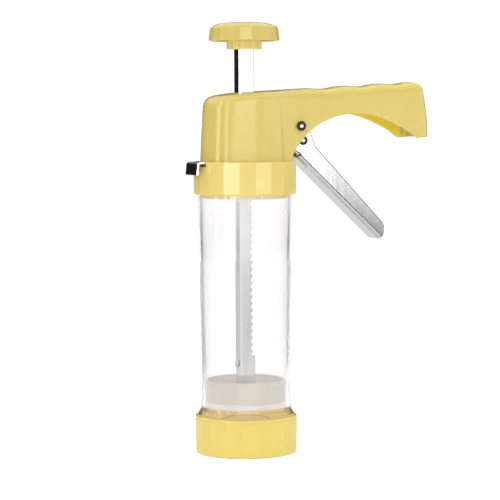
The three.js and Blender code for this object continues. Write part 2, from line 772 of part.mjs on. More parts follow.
// A small coil pushes the plate back out.
function plateSpring() {
  const points = [];
  const coilR = 0.95;
  const coilZ = PLATE_TOP - 1.3;
  const turns = 4;
  const steps = turns * 7;
  const start = PLATE_RIGHT + 0.5;
  const end = POCKET_R - 0.9;
  for (let i = 0; i <= steps; i++) {
    const a = (2 * Math.PI * turns * i) / steps;
    const x = start + ((end - start) * i) / steps;
    points.push([x, coilR * Math.cos(a), coilZ + coilR * Math.sin(a)]);
  }
  return wire(points, 0.25, steps);
}
add("plate_spring", "steel", plateSpring());

// ---- rod, piston and knob -----------------------------------------------------------------------
function toothedRod() {
  const corner = 0.9;
  const tipPart = 0.62; // share of a pitch where the tooth comes to its tip
  const section = [
    [ROD_FRONT, -ROD_HALF],
    [ROD_FRONT, -ROD_HALF + ROD_WALL],
    [ROD_BACK + ROD_WALL, -ROD_HALF + ROD_WALL],
    [ROD_BACK + ROD_WALL, ROD_HALF - ROD_WALL],
    [ROD_FRONT, ROD_HALF - ROD_WALL],
    [ROD_FRONT, ROD_HALF],
    ...arc(ROD_BACK + corner, ROD_HALF - corner, corner, 90, 180, 2),
    ...arc(ROD_BACK + corner, -ROD_HALF + corner, corner, 180, 270, 2),
  ];
  const channel = planProfile(section, ROD_BOTTOM, ROD_TOP);
  // What is cut away in front of the teeth: each tooth has a level upper face and a sloping lower one.
  const away = [[ROD_FRONT + 2, TOOTH_START]];
  for (let i = 0; i < TOOTH_COUNT; i++) {
    const z = TOOTH_START + i * TOOTH_PITCH;
    away.push([TOOTH_VALLEY, z]);
    away.push([TOOTH_TIP, z + tipPart * TOOTH_PITCH]);
    away.push([TOOTH_TIP, z + tipPart * TOOTH_PITCH + TOOTH_FLAT]);
  }
  const end = TOOTH_START + TOOTH_COUNT * TOOTH_PITCH;
  away.push([TOOTH_VALLEY, end], [ROD_FRONT + 2, end]);
  const footRivetWay = bar([ROD_BACK - 1, 0, FOOT_RIVET_Z], [0, 0, FOOT_RIVET_Z], CROSS_WAY_R);
  const pinWay = bar([KNOB_PIN_X, -6, KNOB_PIN_Z], [KNOB_PIN_X, 6, KNOB_PIN_Z], CROSS_WAY_R);
  return cut(channel, sideProfile(away, -6, 6), footRivetWay, pinWay);
}
add("toothed_rod", "steel", toothedRod());

add(
  "rod_foot",
  "white",
  cut(
    block(ROD_BACK + ROD_WALL + GAP, TOOTH_TIP, -2.8, 2.8, ROD_BOTTOM, TOOTH_START - 0.6),
    bar([-5, 0, FOOT_RIVET_Z], [2.2, 0, FOOT_RIVET_Z], CROSS_WAY_R),
    bar([0, 0, ROD_BOTTOM - 1], [0, 0, 48], 2),
  ),
);
add(
  "foot_rivet",
  "steel",
  join(
    bar([ROD_BACK - 0.4, 0, FOOT_RIVET_Z], [1.8, 0, FOOT_RIVET_Z], CROSS_PIN_R),
    bar([ROD_BACK - 1.6, 0, FOOT_RIVET_Z], [ROD_BACK - GAP, 0, FOOT_RIVET_Z], 2.4),
  ),
);

const pistonCup = turned([
  [PISTON_HOLE_R, CUP_BOTTOM],
  [PISTON_R - 0.6, CUP_BOTTOM],
  [PISTON_R, CUP_BOTTOM + 0.6],
  [PISTON_R, CUP_TOP - 0.5],
  [PISTON_R - 0.4, CUP_TOP],
  [PISTON_R - CUP_WALL, CUP_TOP],
  [PISTON_R - CUP_WALL, CUP_BOTTOM + CUP_FLOOR],
  [PISTON_HOLE_R, CUP_BOTTOM + CUP_FLOOR],
]);
add("piston_cup", "frosted", pistonCup);

const sealTop = CUP_BOTTOM - GAP;
const sealR = PISTON_R - 0.1;
const pistonSeal = turned([
  [PISTON_HOLE_R, SEAL_BOTTOM],
  [sealR - 0.3, SEAL_BOTTOM],
  [sealR, SEAL_BOTTOM + 0.3],
  [sealR, SEAL_BOTTOM + 1.2],
  [sealR - SEAL_GROOVE, SEAL_BOTTOM + 1.6],
  [sealR, SEAL_BOTTOM + 2.0],
  [sealR, sealTop],
  [PISTON_HOLE_R, sealTop],
]);
add("piston_seal", "white", pistonSeal);

add(
  "piston_washer",
  "steel",
  turned(
    [
      [PISTON_HOLE_R, WASHER_BOTTOM],
      [WASHER_R, WASHER_BOTTOM],
      [WASHER_R, SEAL_BOTTOM - GAP],
      [PISTON_HOLE_R, SEAL_BOTTOM - GAP],
    ],
    24,
  ),
);
add(
  "piston_screw",
  "steel",
  cut(
    join(
      bar([0, 0, SEAL_BOTTOM - 2.5], [0, 0, 47], PISTON_SCREW_R),
      bar([0, 0, WASHER_BOTTOM - 2], [0, 0, WASHER_BOTTOM - GAP], 3.3, 24),
    ),
    block(-2.2, 2.2, -0.45, 0.45, SEAL_BOTTOM - 5, SEAL_BOTTOM - 2.6),
  ),
);

function knob() {
  const outside = turned(
    [
      [0, KNOB_BOTTOM],
      [KNOB_LOW_R - 0.5, KNOB_BOTTOM],
      [KNOB_LOW_R, KNOB_BOTTOM + 0.7],
      [KNOB_HIGH_R, KNOB_SHOULDER],
      [KNOB_HIGH_R - 1.3, KNOB_SHOULDER + 1.4],
      [KNOB_HIGH_R - 5, KNOB_TOP - 0.7],
      [9, KNOB_TOP - 0.15],
      [0, KNOB_TOP],
    ],
    FACETS,
  );
  const hollow = turned(
    [
      [0, KNOB_BOTTOM - 1],
      [KNOB_SKIRT_BORE_R, KNOB_BOTTOM - 1],
      [KNOB_SKIRT_BORE_R, KNOB_CEILING - 0.8],
      [KNOB_SKIRT_BORE_R - 1.2, KNOB_CEILING],
      [0, KNOB_CEILING],
    ],
    ROUND,
  );
  const fluted = [];
  for (let i = 0; i < 60; i++) {
    const a = (2 * Math.PI * i) / 60;
    const r = BOSS_R + BOSS_FLUTE_DEPTH * Math.cos(BOSS_FLUTES * a);
    fluted.push([r * Math.cos(a), r * Math.sin(a)]);
  }
  const boss = planProfile(fluted, BOSS_BOTTOM, KNOB_CEILING + 0.5);
  const socket = block(
    ROD_BACK - GAP,
    ROD_FRONT + GAP,
    -ROD_HALF - GAP,
    ROD_HALF + GAP,
    BOSS_BOTTOM - 1,
    ROD_TOP + GAP,
  );
  const pinWay = bar([KNOB_PIN_X, -12, KNOB_PIN_Z], [KNOB_PIN_X, 12, KNOB_PIN_Z], CROSS_WAY_R);
  return cut(join(cut(outside, hollow), boss), socket, pinWay);
}
add("knob", "yellow", knob());
add(
  "knob_pin",
  "steel",
  bar([KNOB_PIN_X, -KNOB_PIN_HALF, KNOB_PIN_Z], [KNOB_PIN_X, KNOB_PIN_HALF, KNOB_PIN_Z], CROSS_PIN_R),
);

// ---- origin at the centre of the base of the whole press's box ----------------------------------
const box = new THREE.Box3().setFromObject(press, true);
press.position.set(-(box.min.x + box.max.x) / 2, -(box.min.y + box.max.y) / 2, -box.min.z);
const group = new THREE.Group();
group.add(press);

export default group;
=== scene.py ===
"""Looks of the cookie press. Lengths are millimetres in the press's own frame: Z up along the
barrel's axis (X = Y = 0), the handle towards +X. mesh_object() turns them into metres."""
import math
from functools import partial

import bmesh
import bpy
import numpy as np
from mathutils import Matrix, Quaternion, Vector


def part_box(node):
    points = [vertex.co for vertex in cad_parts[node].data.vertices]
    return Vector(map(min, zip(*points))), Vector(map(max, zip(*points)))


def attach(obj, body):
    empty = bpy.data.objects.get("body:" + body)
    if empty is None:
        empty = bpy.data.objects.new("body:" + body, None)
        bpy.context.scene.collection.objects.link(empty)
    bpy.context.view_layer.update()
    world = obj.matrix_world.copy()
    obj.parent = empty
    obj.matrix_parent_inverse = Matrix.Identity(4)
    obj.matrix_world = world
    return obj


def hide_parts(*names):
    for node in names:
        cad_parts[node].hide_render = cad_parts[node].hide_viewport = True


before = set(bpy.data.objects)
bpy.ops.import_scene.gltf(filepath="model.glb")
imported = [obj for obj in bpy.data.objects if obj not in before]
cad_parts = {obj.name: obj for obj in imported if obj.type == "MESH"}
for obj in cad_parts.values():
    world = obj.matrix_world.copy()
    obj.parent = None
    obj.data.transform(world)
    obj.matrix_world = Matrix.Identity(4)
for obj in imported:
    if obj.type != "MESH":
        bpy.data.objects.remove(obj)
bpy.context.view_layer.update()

MM = 0.001


def centre_of(node):
    low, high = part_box(node)
    return (low + high) / 2


AXIS_X = centre_of("pattern_disc").x  # the barrel's axis in the frame


def extent(node, axis):
    """Lowest and highest coordinate of a CAD node along an axis, in the press's millimetres."""
    low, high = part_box(node)
    shift = AXIS_X if axis == 0 else 0.0
    return (low[axis] - shift) / MM, (high[axis] - shift) / MM


def spot_of(node):
    """Where a pin that lies along Y stands, as the press's (x, z)."""
    spot = centre_of(node)
    return (spot.x - AXIS_X) / MM, spot.z / MM


# ---- mesh helpers ----
def unit_rows(rows):
    return rows / np.maximum(np.linalg.norm(rows, axis=1), 1e-9)[:, None]


def polar(radius, a):
    return radius * math.cos(a), radius * math.sin(a)


def turned(x, y, a):
    """The point (x, y) turned about the origin."""
    return x * math.cos(a) - y * math.sin(a), x * math.sin(a) + y * math.cos(a)


def mesh_object(name, points, faces, angle=32.0):
    """A closed mesh from press millimetres, with outward faces, smooth up to an angle."""
    mesh = bpy.data.meshes.new(name)
    placed = np.array(points, float) * MM + [AXIS_X, 0, 0]
    mesh.from_pydata(placed.tolist(), [], [list(f) for f in faces])
    return finish_mesh(name, mesh, angle)


def finish_mesh(name, mesh, angle=32.0):
    work = bmesh.new()
    work.from_mesh(mesh)
    bmesh.ops.remove_doubles(work, verts=work.verts, dist=1e-7)
    bmesh.ops.dissolve_degenerate(work, edges=work.edges, dist=1e-8)
    bmesh.ops.recalc_face_normals(work, faces=work.faces)
    work.to_mesh(mesh)
    work.free()
    mesh.shade_smooth()
    mesh.set_sharp_from_angle(angle=math.radians(angle))
    made = bpy.data.objects.new(name, mesh)
    bpy.context.scene.collection.objects.link(made)
    return made


def rounded(corners, steps=5, closed=True):
    """A line through (x, y, radius) corners, each corner turned to its radius."""
    points = []
    count = len(corners)
    for i, (x, y, radius) in enumerate(corners):
        here = np.array([x, y], float)
        if radius <= 0 or (not closed and i in (0, count - 1)):
            points.append((x, y))
            continue
        before = np.array(corners[i - 1][:2], float) - here
        after = np.array(corners[(i + 1) % count][:2], float) - here
        len_before, len_after = np.linalg.norm(before), np.linalg.norm(after)
        before, after = before / len_before, after / len_after
        inside = math.acos(max(-1.0, min(1.0, float(before @ after))))
        if inside > math.pi - 1e-3:
            points.append((x, y))
            continue
        reach = min(radius / math.tan(inside / 2), 0.49 * len_before, 0.49 * len_after)
        radius = reach * math.tan(inside / 2)
        bisector = (before + after) / np.linalg.norm(before + after)
        middle = here + bisector * (radius / math.sin(inside / 2))
        first, last = here + before * reach - middle, here + after * reach - middle
        start = math.atan2(first[1], first[0])
        turn = math.atan2(last[1], last[0]) - start
        turn = (turn + math.pi) % (2 * math.pi) - math.pi
        for k in range(steps + 1):
            points.append(tuple(middle + polar(radius, start + turn * k / steps)))
    return points


def open_line(corners, steps=5):
    """A rounded line without its end points, which only lead to its first and last corner."""
    return rounded(corners, steps, closed=False)[1:-1]


def round_outline(count, turn=0.5):
    """A unit circle as (x, y) points."""
    return [polar(1, 2 * math.pi * (i + turn) / count) for i in range(count)]


def flat_outline(flats, corner, flat_steps=2, arc_steps=3):
    """A polygon of unit size over its corners, with a flat on each axis and turned corners."""
    half = math.pi / flats
    apothem = math.cos(half)
    flat_half = math.sin(half) - corner * math.tan(half)
    middle = (apothem - corner) / math.cos(half)
    points = []
    for k in range(flats):
        a = 2 * half * k
        for j in range(flat_steps + 1):
            points.append(turned(apothem, flat_half * (2 * j / flat_steps - 1), a))
        x, y = polar(middle, a + half)
        for j in range(1, arc_steps):
            out_x, out_y = polar(corner, a + 2 * half * j / arc_steps)
            points.append((x + out_x, y + out_y))
    return points


def ring_faces(rings, columns, closed=True):
    """Quads between following rings of the same number of columns."""
    faces = []
    last = rings if closed else rings - 1
    for k in range(last):
        here, there = k * columns, ((k + 1) % rings) * columns
        for i in range(columns):
            j = (i + 1) % columns
            faces.append((here + i, here + j, there + j, there + i))
    return faces


def bar_faces(rings, columns):
    """The same with both ends closed."""
    first, last = range(columns - 1, -1, -1), range((rings - 1) * columns, rings * columns)
    return ring_faces(rings, columns, closed=False) + [tuple(first), tuple(last)]


def lathe(name, profile, outline, bore_from=None, angle=32.0):
    """A closed (radius, z) profile taken round Z. Points from bore_from on are round, the others
    follow the outline. A radius of 0 closes onto the axis."""
    circle = [(x / math.hypot(x, y), y / math.hypot(x, y)) for x, y in outline]
    points = []
    for k, (radius, z) in enumerate(profile):
        line = circle if bore_from is not None and k >= bore_from else outline
        points += [(radius * x, radius * y, z) for x, y in line]
    return mesh_object(name, points, ring_faces(len(profile), len(outline)), angle)


def standing(points, z0, z1, bevel=0.0, steps=3):
    """Rings of a plan outline drawn up from z0 to z1, with its two rims turned to the bevel."""
    outline = np.array(points, float)
    before, after = np.roll(outline, 1, axis=0), np.roll(outline, -1, axis=0)
    along_a, along_b = unit_rows(outline - before), unit_rows(after - outline)
    out_a = np.stack([along_a[:, 1], -along_a[:, 0]], axis=1)
    out_b = np.stack([along_b[:, 1], -along_b[:, 0]], axis=1)
    miter = (out_a + out_b) / np.maximum(1 + (out_a * out_b).sum(axis=1), 0.3)[:, None]
    area = 0.5 * float((outline[:, 0] * after[:, 1] - after[:, 0] * outline[:, 1]).sum())
    miter *= 1 if area > 0 else -1
    rings = [(0.0, z0), (0.0, z1)]
    if bevel > 0:
        turns = [math.pi / 2 * k / steps for k in range(steps + 1)]
        rings = [(bevel * (1 - math.sin(a)), z0 + bevel * (1 - math.cos(a))) for a in turns]
        rings += [(bevel * (1 - math.cos(a)), z1 - bevel * (1 - math.sin(a))) for a in turns]
    made = []
    for inset, z in rings:
        made += [(x, y, z) for x, y in outline - miter * inset]
    return made, len(rings)


def prism(name, points, z0, z1, bevel=0.0, side=False, angle=32.0):
    """A plan outline drawn up along Z, or with side=True an (x, z) outline drawn along Y."""
    made, rings = standing(points, z0, z1, bevel)
    if side:
        made = [(x, z, y) for x, y, z in made]
    return mesh_object(name, made, bar_faces(rings, len(points)), angle)


def block(name, x0, x1, y0, y1, z0, z1, corner=0.0, bevel=0.0):
    outline = rounded([(x0, y0, corner), (x1, y0, corner), (x1, y1, corner), (x0, y1, corner)])
    return prism(name, outline, z0, z1, bevel)


def rod_between(name, start, end, radius, count=40):
    """A plain round bar, used to cut round holes."""
    start, end = Vector(start), Vector(end)
    turn = (end - start).to_track_quat("Z", "Y").to_matrix()
    points = []
    for z in (0.0, (end - start).length):
        for x, y in round_outline(count):
            points.append(tuple(start + turn @ Vector((radius * x, radius * y, z))))
    return mesh_object(name, points, bar_faces(2, count))


def cross_bar(name, x, z, radius, reach):
    """A plain round bar along Y through the press's (x, z)."""
    return rod_between(name, (x, -reach, z), (x, reach, z), radius)


def combined(target, tools, operation="DIFFERENCE", angle=32.0):
    """The target cut by, or joined with, each tool. The tools are used up."""
    for tool in tools:
        step = target.modifiers.new("step", "BOOLEAN")
        step.operation = operation
        step.solver = "EXACT"
        step.object = tool
    bpy.context.view_layer.update()
    evaluated = target.evaluated_get(bpy.context.evaluated_depsgraph_get())
    mesh = bpy.data.meshes.new_from_object(evaluated)
    name = target.name
    for used in [target, *tools]:
        old = used.data
        bpy.data.objects.remove(used)
        bpy.data.meshes.remove(old)
    mesh.name = name
    return finish_mesh(name, mesh, angle)


def smooth_line(points, samples=40):
    """A smooth line through points, as an array."""
    points = np.array(points, float)
    extended = np.vstack([2 * points[0] - points[1], points, 2 * points[-1] - points[-2]])
    line = []
    t = (np.arange(samples) / samples)[:, None]
    for i in range(len(points) - 1):
        p0, p1, p2, p3 = extended[i : i + 4]
        bend = (2 * p0 - 5 * p1 + 4 * p2 - p3) * t**2
        line.append(0.5 * (2 * p1 + (p2 - p0) * t + bend + (3 * p1 - p0 - 3 * p2 + p3) * t**3))
    return np.vstack([*line, points[-1:]])


def wire(name, path, radius, sides=12, samples=6):
    """A round wire along a smooth line through the path's points."""
    line = smooth_line(path, samples)
    ways = unit_rows(np.gradient(line, axis=0))
    side = np.cross(ways[0], [0.31, 0.52, 0.8])
    points = []
    for here, way in zip(line, ways):
        side = side - way * (side @ way)
        side /= np.linalg.norm(side)
        other = np.cross(way, side)
        for x, y in round_outline(sides):
            points.append(tuple(here + radius * (x * side + y * other)))
    return mesh_object(name, points, bar_faces(len(line), sides))


# ---- materials ----
def maths_node(tree, operation, a, b=None):
    node = tree.nodes.new("ShaderNodeMath")
    node.operation = operation
    for socket, value in zip(node.inputs, (a, b)):
        if isinstance(value, (int, float)):
            socket.default_value = value
        elif value is not None:
            tree.links.new(value, socket)
    return node.outputs["Value"]


def ramp_node(tree, value, low, high, to_low=0.0, to_high=1.0):
    """A soft step from to_low to to_high as the value goes from low to high."""
    node = tree.nodes.new("ShaderNodeMapRange")
    node.interpolation_type = "SMOOTHSTEP"
    for socket, number in zip(node.inputs[1:5], (low, high, to_low, to_high)):
        socket.default_value = number
    tree.links.new(value, node.inputs["Value"])
    return node.outputs["Result"]


def dot_node(tree, vector, other):
    node = tree.nodes.new("ShaderNodeVectorMath")
    node.operation = "DOT_PRODUCT"
    tree.links.new(vector, node.inputs[0])
    node.inputs[1].default_value = other
    return node.outputs["Value"]


class Look:
    """A material with one Principled shader, and short ways to add procedural nodes."""

    def __init__(self, name):
        self.material = bpy.data.materials.new(name)
        self.material.use_nodes = True
        self.tree = self.material.node_tree
        self.shader = self.tree.nodes["Principled BSDF"]
        self.coords = self.tree.nodes.new("ShaderNodeTexCoord").outputs["Object"]

    def link(self, out, into):
        """Links to a node's socket, or to the shader's if only its name is given."""
        into = self.shader.inputs[into] if isinstance(into, str) else into
        self.tree.links.new(out, into)

    def texture(self, kind, scale, stretch):
        mapping = self.tree.nodes.new("ShaderNodeMapping")
        mapping.inputs["Scale"].default_value = stretch
        self.link(self.coords, mapping.inputs["Vector"])
        node = self.tree.nodes.new(kind)
        node.inputs["Scale"].default_value = scale
        self.link(mapping.outputs["Vector"], node.inputs["Vector"])
        return node

    def noise(self, scale, detail=4.0, stretch=(1, 1, 1), rough=0.55):
        node = self.texture("ShaderNodeTexNoise", scale, stretch)
        node.inputs["Detail"].default_value = detail
        node.inputs["Roughness"].default_value = rough
        return node.outputs["Fac"]

    def cells(self, scale, stretch=(1, 1, 1)):
        node = self.texture("ShaderNodeTexVoronoi", scale, stretch)
        node.feature = "DISTANCE_TO_EDGE"
        return node.outputs["Distance"]

    def ramp(self, *numbers):
        return ramp_node(self.tree, *numbers)

    def maths(self, operation, a, b):
        return maths_node(self.tree, operation, a, b)

    def mixed(self, factor, a, b):
        node = self.tree.nodes.new("ShaderNodeMix")
        node.data_type = "RGBA"
        self.link(factor, node.inputs["Factor"])
        for socket, value in ((node.inputs["A"], a), (node.inputs["B"], b)):
            if isinstance(value, tuple):
                socket.default_value = (*value, 1.0)
            else:
                self.link(value, socket)
        return node.outputs["Result"]

    def bump(self, *layers):
        """Layers of (height, distance in metres), one on the other."""
        normal = None
        for height, distance in layers:
            node = self.tree.nodes.new("ShaderNodeBump")
            node.inputs["Distance"].default_value = distance
            self.link(height, node.inputs["Height"])
            if normal is not None:
                self.link(normal, node.inputs["Normal"])
            normal = node.outputs["Normal"]
        self.link(normal, "Normal")

    def edges(self):
        """1 along convex edges, 0 elsewhere; the looks lighten their colour there."""
        node = self.tree.nodes.new("ShaderNodeNewGeometry")
        return self.ramp(node.outputs["Pointiness"], 0.515, 0.56)

    def set(self, **values):
        for socket, value in values.items():
            self.shader.inputs[socket.replace("_", " ")].default_value = value


def tinted(colour, factor):
    return tuple(min(1.0, c * factor) for c in colour)


def moulded_plastic(name, colour, deep, roughness, peel=1.0, lit=None, glow=0.22):
    """Glossy moulded plastic: slow colour drift, flow lines, fine orange peel, hair scratches."""
    look = Look(name)
    drift = look.ramp(look.noise(26, 3), 0.35, 0.65)
    flow = look.ramp(look.noise(60, 5, stretch=(1.0, 1.0, 0.12)), 0.42, 0.7)
    body = look.mixed(drift, tinted(colour, 0.985), tinted(colour, 1.01))
    body = look.mixed(look.maths("MULTIPLY", flow, 0.12), body, deep)
    body = look.mixed(look.maths("MULTIPLY", look.edges(), 0.35), body, tinted(colour, 1.08))
    look.link(body, "Base Color")
    scratches = look.ramp(look.cells(240, stretch=(1.0, 0.25, 0.6)), 0.0, 0.012, 1.0, 0.0)
    sheen = look.ramp(look.noise(90, 6), 0.3, 0.7, roughness * 0.85, roughness * 1.2)
    look.link(look.maths("ADD", sheen, look.maths("MULTIPLY", scratches, 0.08)), "Roughness")
    look.bump((look.noise(700, 3), 0.000012 * peel), (look.noise(150, 2), 0.00002 * peel))
    look.set(IOR=1.5, Subsurface_Weight=0.5, Subsurface_Scale=0.002)
    look.set(Subsurface_Radius=(1.0, 0.82, 0.35))
    if lit:  # painted glow: emission of the lit colour stands in for day light that comes through the thin wall
        look.set(Emission_Color=(*lit, 1), Emission_Strength=glow)
    return look.material


def sheet_steel(name, colour, roughness, along=(1, 1, 1), grain=1.0, scale=900):
    """Rolled or brushed steel: fine lines one way, cloudy gloss, brighter convex edges."""
    look = Look(name)
    lines = look.noise(scale, 6, stretch=along, rough=0.7)
    clouds = look.ramp(look.noise(45, 4), 0.35, 0.7)
    tone = look.mixed(look.ramp(lines, 0.3, 0.7), tinted(colour, 0.93), tinted(colour, 1.03))
    tone = look.mixed(look.maths("MULTIPLY", clouds, 0.25), tone, tinted(colour, 0.9))
    tone = look.mixed(look.maths("MULTIPLY", look.edges(), 0.4), tone, tinted(colour, 1.12))
    look.link(tone, "Base Color")
    look.link(look.ramp(lines, 0.25, 0.75, roughness * 0.8, roughness * 1.3), "Roughness")
    look.bump((lines, 0.000012 * grain), (look.noise(120, 2), 0.00002 * grain))
    look.set(Metallic=1.0)
    return look.material


YELLOW = (0.69, 0.56, 0.155)
YELLOW_DEEP = (0.66, 0.48, 0.10)
looks = {
    "body": moulded_plastic("body_yellow", YELLOW, YELLOW_DEEP, 0.17),
    "collar": moulded_plastic("collar_yellow", (0.785, 0.64, 0.20), YELLOW_DEEP, 0.12, 0.5),
    "ring": moulded_plastic("ring_yellow", (0.80, 0.65, 0.18), (0.74, 0.54, 0.12), 0.2, 0.6),
    "knob": moulded_plastic("knob_yellow", (0.65, 0.54, 0.155), YELLOW_DEEP, 0.16, 0.7),
    # handle cavity: a deeper orange copy of the body's yellow, which is painted shade, with a
    # painted glow standing in for light through the wall
    "inside": moulded_plastic(
        "inside_yellow_painted_shade_glow", (0.70, 0.55, 0.05), (0.66, 0.49, 0.035), 0.4, lit=(0.76, 0.60, 0.03)
    ),
    # ring's bore: a deeper orange copy of the ring's yellow, which is painted shade, with a strong
    # painted glow standing in for light through the translucent ring
    "ring_inside": moulded_plastic(
        "ring_bore_painted_shade_glow", (0.82, 0.60, 0.07), (0.76, 0.52, 0.04), 0.4,
        lit=(0.95, 0.68, 0.03), glow=0.42,
    ),
    # spigot seen through the barrel: a paler copy of the collar's yellow with a painted glow,
    # lifting it out of the shade in the skirt's gap
    "spigot": moulded_plastic(
        "spigot_yellow_painted_light", (0.86, 0.72, 0.32), (0.80, 0.60, 0.20), 0.3,
        lit=(0.95, 0.78, 0.38), glow=0.35,
    ),
    # boss under the knob's skirt: a brighter copy of the knob's yellow with a painted glow, lifting
    # it out of the skirt's shade
    "boss": moulded_plastic(
        "boss_yellow_painted_light", (0.72, 0.59, 0.18), YELLOW_DEEP, 0.16, 0.7, lit=(0.8, 0.64, 0.22), glow=0.13
    ),
    # pattern disc: white plastic painted yellowish, with a yellow painted glow, standing in for the
    # ring's yellow light bouncing onto it
    "disc": moulded_plastic(
        "disc_painted_yellow_bounce", (0.84, 0.77, 0.56), (0.78, 0.69, 0.45), 0.35, lit=(0.95, 0.66, 0.05), glow=0.2
    ),
    "white": moulded_plastic("white_nylon", (0.80, 0.79, 0.76), (0.72, 0.70, 0.66), 0.35),
    "steel": sheet_steel("lever_steel", (0.70, 0.70, 0.71), 0.06, (1.0, 1.0, 0.05), 0.4),
    "rod": sheet_steel("rod_steel", (0.74, 0.74, 0.74), 0.14, (1.0, 1.0, 0.03)),
    "chrome": sheet_steel("polished_steel", (0.80, 0.80, 0.80), 0.05, (1, 1, 1), 0.25, 300),
    # near-black steel: the edges are rough sheared edges, and the colour is painted dark to stand
    # in for the dark reflections along the lever's and rod's edges and on the rivets' rolled rims
    "sheared_painted_shade": sheet_steel("sheared_painted_shade_edge", (0.05, 0.05, 0.052), 0.35, (1, 1, 1), 0.8, 500),
    "zinc": sheet_steel("zinc_plate", (0.62, 0.62, 0.63), 0.28, (1, 1, 1), 0.8, 500),
}


def clear_plastic():
    """Clear moulded barrel with a faint milky haze and hair scratches along it."""
    look = Look("clear_barrel")
    drift = look.noise(30, 4)
    body = look.ramp(drift, 0.35, 0.65)
    look.link(look.mixed(body, (0.985, 0.985, 0.978), (0.995, 0.995, 0.992)), "Base Color")
    look.link(look.ramp(drift, 0.3, 0.7, 0.88, 0.91), "Transmission Weight")
    scratches = look.ramp(look.cells(160, stretch=(1.0, 1.0, 0.12)), 0.0, 0.01, 1.0, 0.0)
    look.link(look.ramp(scratches, 0.0, 1.0, 0.02, 0.07), "Roughness")
    look.bump((look.noise(70, 2), 0.00002))
    look.set(IOR=1.49)
    return look.material


def milky_plastic(name, colour, light, roughness):
    """Half-clear soft plastic of the piston: some subsurface scattering, and a painted glow
    (emission of the lighter colour) for the light it takes in and lets out again.
    """
    look = Look(name)
    cloud = look.ramp(look.noise(110, 5), 0.35, 0.7)
    look.link(look.mixed(cloud, colour, light), "Base Color")
    sheen = look.ramp(look.noise(300, 4), 0.3, 0.7, roughness * 0.85, roughness * 1.15)
    look.link(sheen, "Roughness")
    look.bump((look.noise(500, 3), 0.00001))
    look.set(Subsurface_Weight=0.3, Subsurface_Scale=0.004, IOR=1.45)
    # painted glow: emission stands in for light passing through the plastic
    look.set(Emission_Color=(*light, 1), Emission_Strength=0.2)
    return look.material


looks["clear"] = clear_plastic()
looks["piston"] = milky_plastic("piston_milky", (0.69, 0.65, 0.59), (0.73, 0.69, 0.62), 0.35)
# inside of the piston cup: a darker, greyer copy of the piston's plastic, which is painted shade
looks["piston_inside_painted_shade"] = milky_plastic(
    "piston_inside_painted_shade", (0.66, 0.64, 0.61), (0.72, 0.70, 0.67), 0.45
)
looks["seal"] = milky_plastic("seal_white", (0.86, 0.83, 0.77), (0.90, 0.87, 0.82), 0.3)


def dress(piece, look, body, slot, *nodes, second=None, weighted=True):
    """Gives a piece its material and its body, and hides the CAD nodes it stands for. The slot is
    not used.
    """
    if second:
        second_look(piece, *second)
    at = [face.material_index for face in piece.data.polygons]
    piece.data.materials.clear()
    piece.data.materials.append(looks[look])
    if "second" in piece:
        piece.data.materials.append(looks[piece["second"]])
        piece.data.polygons.foreach_set("material_index", at)
    if weighted:
        even = piece.modifiers.new("even_normals", "WEIGHTED_NORMAL")
        even.keep_sharp = True
        even.weight = 60
    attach(piece, body)
    if nodes:
        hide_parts(*nodes)


def second_look(piece, look, where):
    """Gives the faces whose middle passes the test, in press millimetres, a second material."""
    piece["second"] = look
    for face in piece.data.polygons:
        x, y, z = face.center
        face.material_index = 1 if where((x - AXIS_X) / MM, y / MM, z / MM) else 0


FACETS = 20
FACETED = flat_outline(FACETS, 0.03)

# ---- base ring ----
_, RING_TOP = extent("base_ring", 2)
RING_R = extent("base_ring", 0)[1] / math.cos(math.pi / FACETS)
RING_FOOT_R = RING_R - 0.4
RING_BORE_R = 30.3
DISC_SEAT_R = 28.4
RING_MOUTH_R = 26.4
DISC_BOTTOM, DISC_TOP = extent("pattern_disc", 2)


def base_ring():
    outside = rounded(
        [(RING_FOOT_R, 0.0, 0.7), (RING_R, RING_TOP, 0.9), (RING_BORE_R, RING_TOP, 0.3)],
        closed=False,
    )
    outside[0] = (RING_FOOT_R - 0.7, 0.0)
    outside.insert(1, (RING_FOOT_R - 0.25, 0.12))
    outside.insert(2, (RING_FOOT_R, 0.6))
    outside.pop()
    groove = RING_TOP - 1.5
    at = next(i for i, (_, z) in enumerate(outside) if z > groove)
    outside[at:at] = [
        (RING_R, groove - 0.45), (RING_R - 0.22, groove - 0.3), (RING_R - 0.22, groove - 0.1),
        (RING_R, groove),
    ]
    bore = open_line([
        (RING_R - 0.6, RING_TOP, 0), (RING_BORE_R, RING_TOP, 0.35),
        (RING_BORE_R, DISC_TOP + 0.3, 0.3), (DISC_SEAT_R, DISC_TOP + 0.3, 0.2),
        (DISC_SEAT_R, DISC_BOTTOM - 0.3, 0.2), (RING_MOUTH_R, DISC_BOTTOM - 0.3, 0.4),
        (RING_MOUTH_R, 0.0, 0.5), (RING_FOOT_R - 0.7, 0.0, 0),
    ])
    return lathe("screw_ring", outside + bore, FACETED, bore_from=len(outside))


# faces that get the ring bore's painted shade-and-glow copy of the ring's yellow
def in_ring_bore(x, y, z):
    return math.hypot(x, y) < RING_BORE_R + 0.1 and 0.6 < z < RING_TOP - 0.5


dress(
    base_ring(), "ring", "ring", "ring_plastic", "base_ring", second=("ring_inside", in_ring_bore)
)


# ---- pattern disc ----
PETALS = 8
PETAL_STEPS = 36


